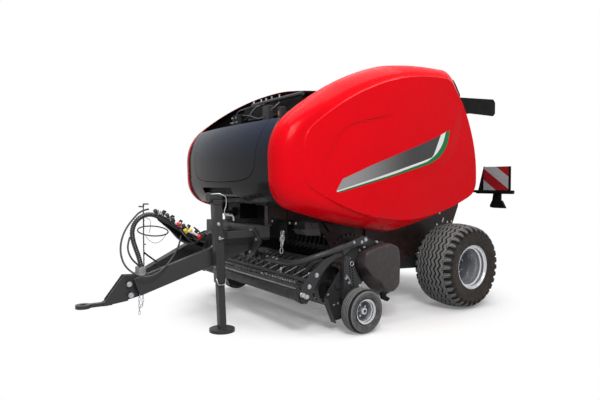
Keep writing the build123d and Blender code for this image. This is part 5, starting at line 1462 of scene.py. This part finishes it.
make("thin_chain", [chain(row([(3.197, -0.06, 1.06), (3.204, -0.06, 0.869), (3.201, -0.06, 0.723),
                               (3.202, -0.058, 0.606)]), 0.02, 0.0018, 0.009)], "chassis", dark_steel)

# couplers' caps, levers and pipes
knob = [(0, 0), (0.013, 0), (0.015, 0.006), (0.015, 0.026), (0.019, 0.03), (0.019, 0.042), (0.012, 0.048),
        (0, 0.049)]
make("coupler_caps_black", [turned_post(knob, [(3.118, 0.075, 1.1), (3.012, 0.1, 1.058), (2.959, 0.1, 1.02),
                                               (2.85, 0.1, 0.952)], (0.55, 0.3, 0.75))], "chassis", black_cap)
make("coupler_caps_red", [turned_post(knob, [(2.905, 0.105, 0.972), (2.705, 0.12, 0.842)], (0.5, 0.4, 0.7))],
     "chassis", red_cap)
make("coupler_caps_yellow", [turned_post(knob, [(2.838, 0.105, 0.905), (2.782, 0.1, 0.902)],
                                         (0.5, 0.3, 0.8))], "chassis", yellow_cap)
make("coupler_levers", [rod([(2.83, 0.11, 0.925), (2.77, 0.112, 0.9), (2.718, 0.116, 0.868)], 0.012, 16),
                        rod([(2.93, 0.09, 0.99), (2.96, 0.085, 1.03)], 0.008, 8)], "chassis", white_plate)
silver_tube = [(0, 0), (0.01, 0), (0.01, 0.03), (0.013, 0.032), (0.013, 0.05), (0.008, 0.055), (0, 0.055)]
make("coupler_silver", [turned_post(silver_tube, [(3.06, 0.07, 1.075), (2.985, 0.088, 1.03),
                                                  (2.88, 0.09, 0.96), (2.81, 0.095, 0.915),
                                                  (3.09, 0.05, 1.09)], (0.4, 0.2, 0.9))], "chassis", zinc)
loops = [[(2.9, 0.1, 0.94), (2.86, 0.14, 0.87), (2.78, 0.15, 0.8), (2.7, 0.13, 0.82), (2.68, 0.08, 0.9),
          (2.74, 0.05, 0.95)],
         [(2.95, 0.04, 0.99), (2.86, 0.09, 0.93), (2.8, 0.08, 0.85), (2.7, 0.03, 0.84), (2.6, 0.0, 0.88)],
         [(2.88, 0.0, 0.94), (2.8, -0.04, 0.9), (2.7, -0.02, 0.86), (2.58, -0.04, 0.9)]]
thick = [[(3.1, 0.03, 1.085), (2.98, 0.05, 1.02), (2.85, 0.06, 0.935), (2.72, 0.07, 0.85), (2.62, 0.08, 0.8)],
         [(3.08, -0.005, 1.06), (2.95, 0.01, 0.98), (2.8, 0.02, 0.885), (2.68, 0.02, 0.82), (2.6, 0.02, 0.8)]]
flats("rack_web", [([(3.1, 1.1), (2.6, 0.8), (2.62, 0.74), (2.85, 0.83), (3.08, 1.03)], -0.02, -0.01, 1)],
      "chassis", black_steel)
make("rack_pipes", [rod(line, 0.008, 40, 0.03) for line in loops]
     + [rod(line, 0.018, 40, 0.03) for line in thick], "chassis", hose_black)

# front frame fittings, hanging chain, brackets under the side cover
make("front_frame_bolts", [bolts(row([(2.177, 0.246, 0.7), (2.177, 0.3, 0.915), (2.177, 0.4, 0.86)]),
                                 (-1, 0, 0), 0.011), bolts(row([(2.195, 0.246, 0.69), (2.195, 0.29, 0.92),
                                                                (2.195, 0.392, 0.85)]), (1, 0, 0), 0.011),
                           bolts(row([(2.311, 0.3, 0.905), (2.324, 0.455, 0.925), (2.324, 0.56, 0.85),
                                      (2.324, 0.44, 0.72)]), (1, 0, 0), 0.01),
                           bolts(row([(2.06, 0.425, 1.005), (2.06, 0.745, 1.008), (2.06, 0.85, 1.01)]),
                                 (1, 0, 0.2), 0.009)], "chassis", zinc)
guard_chain = make("guard_chain", [chain(row([(2.183, 0.792, 0.945), (2.184, 0.79, 0.84),
                                              (2.185, 0.789, 0.73)]), 0.046, 0.0036, 0.03),
                                   chain(row([(2.188, 0.822, 0.945), (2.188, 0.82, 0.87),
                                              (2.188, 0.8, 0.8)]), 0.046, 0.0036, 0.03)], "chassis", zinc)
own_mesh(guard_chain)
make("guard_chain_end", [chain(row([(2.188, 0.786, 0.6), (2.188, 0.784, 0.555)]), 0.022, 0.0032, 0.015)],
     "windguard", zinc)
flats("hanger_plate", [(soft([(0.417, 0.951), (0.491, 0.965), (0.625, 0.851), (0.517, 0.692),
                              (0.396, 0.683)], 0.01, 50), 2.316, 2.324, 0)], "chassis", beam_finish)
flats("end_bracket", [([(0.745, 0.985), (0.87, 1.0), (0.87, 0.93), (0.745, 0.915)], 2.176, 2.184, 0),
                      ([(0.56, 0.992), (0.88, 1.03), (0.88, 0.99)], 2.04, 2.06, 0)], "chassis", black_steel)
flats("cover_latch_brackets", both_sides([(soft([(2.003, 0.946), (1.958, 0.89), (1.78, 0.88), (1.8, 0.958)],
                                                0.004, 40), 0.7, 0.86, 1), ([(1.8, 0.95), (1.96, 0.95),
                                                                             (1.96, 1.012), (1.8, 1.005)],
                                                                            0.66, 0.85, 1)]), "chassis",
      charcoal_dull, (), 0.002)
flats("latch_plates", both_sides([([(1.835, 0.965), (1.885, 0.968), (1.885, 1.0), (1.835, 0.998)], 0.851,
                                   0.858, 1), ([(1.579, 0.983), (1.419, 0.967), (1.418, 0.892), (1.5, 0.88)],
                                               0.633, 0.645, 1)]), "chassis", umber, (), 0.002)
flats("parking_pad", [(oblong(3.202, -0.095, 3.292, 0.095), 0.52, 0.54, 2),
                      (soft(oblong(3.212, -0.078, 3.285, 0.045), 0.01, 40),
                       0.539, 0.596, 2)], "chassis", casting, ["parking_block"], 0.003)
# painted shade: near-black upright sheets across the bay behind the covers stand for the dark inside of the
# machine
flats("front_lining", [([(-0.6, 1.95), (0.6, 1.95), (0.6, 2.265), (-0.6, 2.275)], 1.815, 1.82, 0),
                       (oblong(-0.62, 0.83, 0.62, 1.95), 2.0, 2.008, 0)],
      "chassis", charcoal_paint("bay_shade_black", (0.004, 0.003, 0.003), 0.004, 0.6), (), 0, slot="wall_paint")
flats("chamber_aprons", both_sides([([(0.13, 0.9), (0.13, 0.59), (0.315, 0.545), (0.47, 0.51), (1.02, 0.47),
                                      (1.02, 0.9)], 0.634, 0.64, 1)]), "chassis", umber, (), 0)

# seal, lip and plate behind the hand slot
z_line = np.linspace(1.178, 1.966, 60)
seal = np.stack([front_skin(0.8835, z_line) - 0.004, np.full(60, 0.8885), z_line], 1)
y_line = np.linspace(-0.275, 0.275, 40)
lip = np.stack([front_skin(y_line, 1.2575) + 0.0006, y_line, np.full(40, 1.257)], 1)
make("cover_seals", mirrored([tube(row(seal), 0.0055, 8, (0, 1, 0))]), "chassis", hose_black)
make("cover_lip", [tube(row(lip), 0.004, 8, (0, 0, 1))], "chassis", casting)
flats("slot_backing", [(oblong(-0.6, 1.262, 0.26, 1.37), 2.335, 2.342, 0),
                       (oblong(0.62, 1.18, 0.8, 1.24), 2.17, 2.175, 0)], "chassis",
      black_steel, (), 0)

# bay behind the flap
flats("bay_boxes", [(oblong(2.085, 2.0, 2.16, 2.104), -0.245, -0.05, 1),
                    (oblong(2.02, 2.0, 2.08, 2.165), 0.261, 0.385, 1),
                    (oblong(2.01, 2.0, 2.07, 2.128), 0.54, 0.6, 1)], "chassis",
      charcoal_dull, (), 0.006)
make("bay_bar", pins([(1.95, 2.236)], 0.02, -0.17, 0.8, 1, 24), "chassis", charcoal)
nut = [(0, 0), (0.01, 0), (0.01, 0.01), (0.007, 0.012), (0.007, 0.02), (0.009, 0.022), (0.009, 0.028),
       (0, 0.029)]
nut_spots = [(2.161, y, z) for y, z in ((-0.225, 2.03), (-0.18, 2.03), (-0.135, 2.03), (-0.09, 2.03),
                                        (-0.2, 2.08), (-0.11, 2.08))]
make("bay_fittings", [
    turned_post(nut, nut_spots, (1, 0, 0.1)),
    turned_post(nut, [(1.95, y, 2.252) for y in (-0.14, 0.02, 0.12, 0.236, 0.385)], (0, 0, 1)),
], "chassis", pale_steel, (), 30)
flats("bay_plate_orange", [(oblong(0.556, 2.044, 0.572, 2.086), 2.0702, 2.075,
                            0)], "chassis", cap_plastic("orange_plate", (0.38, 0.09, 0.01)), (), 0.001)
lines = [[(2.165, -0.2, 2.045), (2.19, -0.16, 2.036), (2.18, -0.06, 2.03), (2.15, 0.02, 2.045),
           (2.13, 0.07, 2.075), (2.11, 0.074, 2.11), (2.05, 0.07, 2.18), (1.96, 0.06, 2.215)],
          [(2.165, -0.1, 2.09), (2.18, -0.05, 2.1), (2.15, 0.12, 2.08), (2.13, 0.28, 2.03),
           (2.12, 0.37, 2.04)],
          [(2.165, -0.15, 2.085), (2.16, -0.12, 2.15), (2.06, -0.06, 2.19), (1.96, 0.12, 2.216)],
          [(2.12, 0.5, 2.1), (2.08, 0.53, 2.14), (1.99, 0.45, 2.19), (1.955, 0.385, 2.216)]]
make("bay_pipes", [rod(line, 0.0065, 50, 0.02, 8) for line in lines], "chassis", hose_black)

# reflecting boards and lamps at the rear
lamp_boxes, lenses, lens_amber = [], [], []
for name, side in SIDES:
    finish = striped_board(f"board_{name}", side * 0.73)
    low, high = sorted((side * 0.93, side * 1.266))
    outline = soft(oblong(low, 1.302, high, 1.578), 0.006, 60)
    flats(f"striped_board_{name}", [(outline, -0.6192, -0.6178, 0), (outline, -0.629, -0.6268, 0)],
          "tailgate", finish, (), 0)
    for outline, back, front in (
            (soft([(1.029, 1.262), (1.088, 1.262), (1.1, 1.185), (1.165, 1.118), (1.16, 1.092), (0.99, 1.092),
                   (0.983, 1.118), (1.018, 1.185)], 0.006, 60), -0.692, -0.668),
            (oblong(0.815, 1.258, 1.311, 1.296), -0.668, -0.63),
            ([(0.843, 1.29), (0.94, 1.29), (0.94, 1.582), (0.92, 1.588)], -0.64, -0.63)):
        lamp_boxes.append((np.array(outline) * np.array([side, 1]), back, front, 0))
    for k, group in ((0, lenses), (1, lens_amber)):
        a, b = sorted((side * (0.998 + 0.08 * k), side * (1.072 + 0.08 * k)))
        group.append((soft(oblong(a, 1.096, b, 1.122), 0.006, 40), -0.704, -0.691, 0))
flats("lamp_housings", lamp_boxes, "tailgate", black_steel, (), 0.003)
flats("gate_top_bars", both_sides([([(-0.25, 2.44), (-0.25, 2.64), (-0.3, 2.652), (-0.404, 2.65),
                                     (-0.45, 2.6), (-0.53, 2.488), (-0.535, 2.45)], 0.606, 0.64, 1)]),
      "tailgate", black_steel)
flats("lamp_lenses_red", lenses, "tailgate", cap_plastic("red_lens", (0.45, 0.004, 0.004), "red_paint"), (),
      0.004)
flats("lamp_lenses_amber", lens_amber, "tailgate", cap_plastic("amber_lens", (0.75, 0.2, 0.01)), (), 0.004)

# bolts on the walls
wall_spots = [(-0.275, 0.949), (-0.264, 0.922), (-0.161, 0.884), (-0.352, 0.906), (-0.43, 0.911),
              (-0.21, 1.02), (0.02, 0.98), (0.13, 0.86)]
make("gate_wall_bolts", mirrored([bolts(row([(x, 0.6045, z) for x, z in wall_spots]), (0, 1, 0), 0.01)]),
     "tailgate", zinc)
ring = np.linspace(0, TAU, 26, endpoint=False)
wall_ring = [(1.23 + 0.24 * np.cos(a), 0.6325, 0.6 + 0.24 * np.sin(a)) for a in ring]
make("chamber_wall_bolts", mirrored([
    bolts(row(wall_ring), (0, 1, 0), 0.009),
    bolts(row([(1.75, 0.6325, z) for z in np.arange(0.94, 1.6, 0.11)]), (0, 1, 0), 0.009),
]), "chassis", dark_steel)

# ---- CAD nodes that keep their own shape ----------------------------------------------------------------
finish_of_slot = {
    "red_paint": red_gloss, "cover_plastic": cover_gloss, "frame_paint": charcoal, "wall_paint": umber,
    "rim_paint": silver, "steel": dark_steel, "rod_chrome": chrome, "tyre_rubber": main_rubber,
    "belt_rubber": belt, "hose_rubber": hose_black, "grey_cast": casting,
}
for node, piece in frame["nodes"].items():
    piece.data.materials.clear()
    piece.data.materials.append(finish_of_slot[slot_of_node[node]])
    if not piece.hide_render:
        piece.data.shade_smooth()
        piece.data.set_sharp_from_angle(angle=math.radians(30))

# ---- floor, light and camera ----------------------------------------------------------------------------
RAYS = ("Is Camera Ray", "Is Glossy Ray", "Is Transmission Ray")
WHITE_FROM, WHITE_BY, WHITE_LEAST = 1.35, 1.95, 0.16
CAMERA_AT, CAMERA_SIGHT, CAMERA_LENS = (3.4524, 4.8469, 1.3861), (-0.5646, -0.8247, -0.03275), 31.06

floor_mesh = mesh_from("floor", [(np.array([[[-60, -60, 0], [-60, 60, 0]], [[60, -60, 0], [60, 60, 0]]],
                                           float), False, False)])
floor_finish = Finish("pale_floor", roughness=0.9)
reach = floor_finish.from_line((floor_finish.x + 0.6) * 0.85, floor_finish.y)
seen = floor_finish.node("ShaderNodeLightPath", {}, {}, None)
camera_ray, glossy_ray, clear_ray = (Signal(floor_finish, seen.outputs[ray]) for ray in RAYS)
sight = camera_ray + glossy_ray + clear_ray
share = floor_finish.step(reach, WHITE_FROM, WHITE_BY, WHITE_LEAST, 1.0) * sight
floor_material = floor_finish.done(floor_finish.mix(sight, (0.5, 0.5, 0.5), (0.95, 0.95, 0.95)))
white = floor_finish.node("ShaderNodeEmission", {}, {"Color": (1, 1, 1, 1), "Strength": 1.0})
lit = Signal(floor_finish, floor_finish.shader.outputs[0])
blend = floor_finish.node("ShaderNodeMixShader", {}, {0: share, 1: lit, 2: white})
output = next(n for n in floor_finish.tree.nodes if n.type == "OUTPUT_MATERIAL")
floor_finish.tree.links.new(blend.socket, output.inputs["Surface"])
floor = bpy.data.objects.new("floor", floor_mesh)
floor_mesh.materials.append(floor_material)
bpy.context.scene.collection.objects.link(floor)

world = bpy.data.worlds.new("studio")
bpy.context.scene.world = world
world.use_nodes = True
sky = world.node_tree
backdrop = sky.nodes["Background"]
path = sky.nodes.new("ShaderNodeLightPath")
strength = None
for name in RAYS:
    if strength is None:
        strength = path.outputs[name]
        continue
    total = sky.nodes.new("ShaderNodeMath")
    sky.links.new(strength, total.inputs[0])
    sky.links.new(path.outputs[name], total.inputs[1])
    strength = total.outputs[0]
level = sky.nodes.new("ShaderNodeMapRange")
sky.links.new(strength, level.inputs["Value"])
level.inputs["To Min"].default_value = 0.34
level.inputs["To Max"].default_value = 1.0
backdrop.inputs["Color"].default_value = (1, 1, 1, 1)
sky.links.new(level.outputs[0], backdrop.inputs["Strength"])


def lamp(name, place, aim, size, watts, tint=(1, 1, 1)):
    """A soft rectangular lamp at a place, turned to an aim."""
    light = bpy.data.lights.new(name, "AREA")
    light.shape, light.size, light.size_y = "RECTANGLE", *size
    light.energy, light.color = watts, tint
    holder = bpy.data.objects.new(name, light)
    holder.location = place
    holder.rotation_euler = (Vector(aim) - Vector(place)).to_track_quat("-Z", "Y").to_euler()
    bpy.context.scene.collection.objects.link(holder)


lamp("key", (2.6, 5.6, 5.4), (0, 0, 1.0), (3.0, 3.0), 300)
lamp("overhead", (0.0, 0.0, 6.8), (0, 0, 0.5), (7.0, 5.0), 350)
lamp("highlight", (2.7, 4.6, 5.2), (0.6, 0.9, 1.9), (0.26, 0.26), 52)

camera = bpy.data.cameras.new("camera")
camera.lens, camera.sensor_width = CAMERA_LENS, 36.0
camera_place = bpy.data.objects.new("camera", camera)
camera_place.location = CAMERA_AT
camera_place.rotation_euler = Vector(CAMERA_SIGHT).to_track_quat("-Z", "Y").to_euler()
bpy.context.scene.collection.objects.link(camera_place)
bpy.context.scene.camera = camera_place
bpy.context.scene.view_settings.view_transform = "Standard"
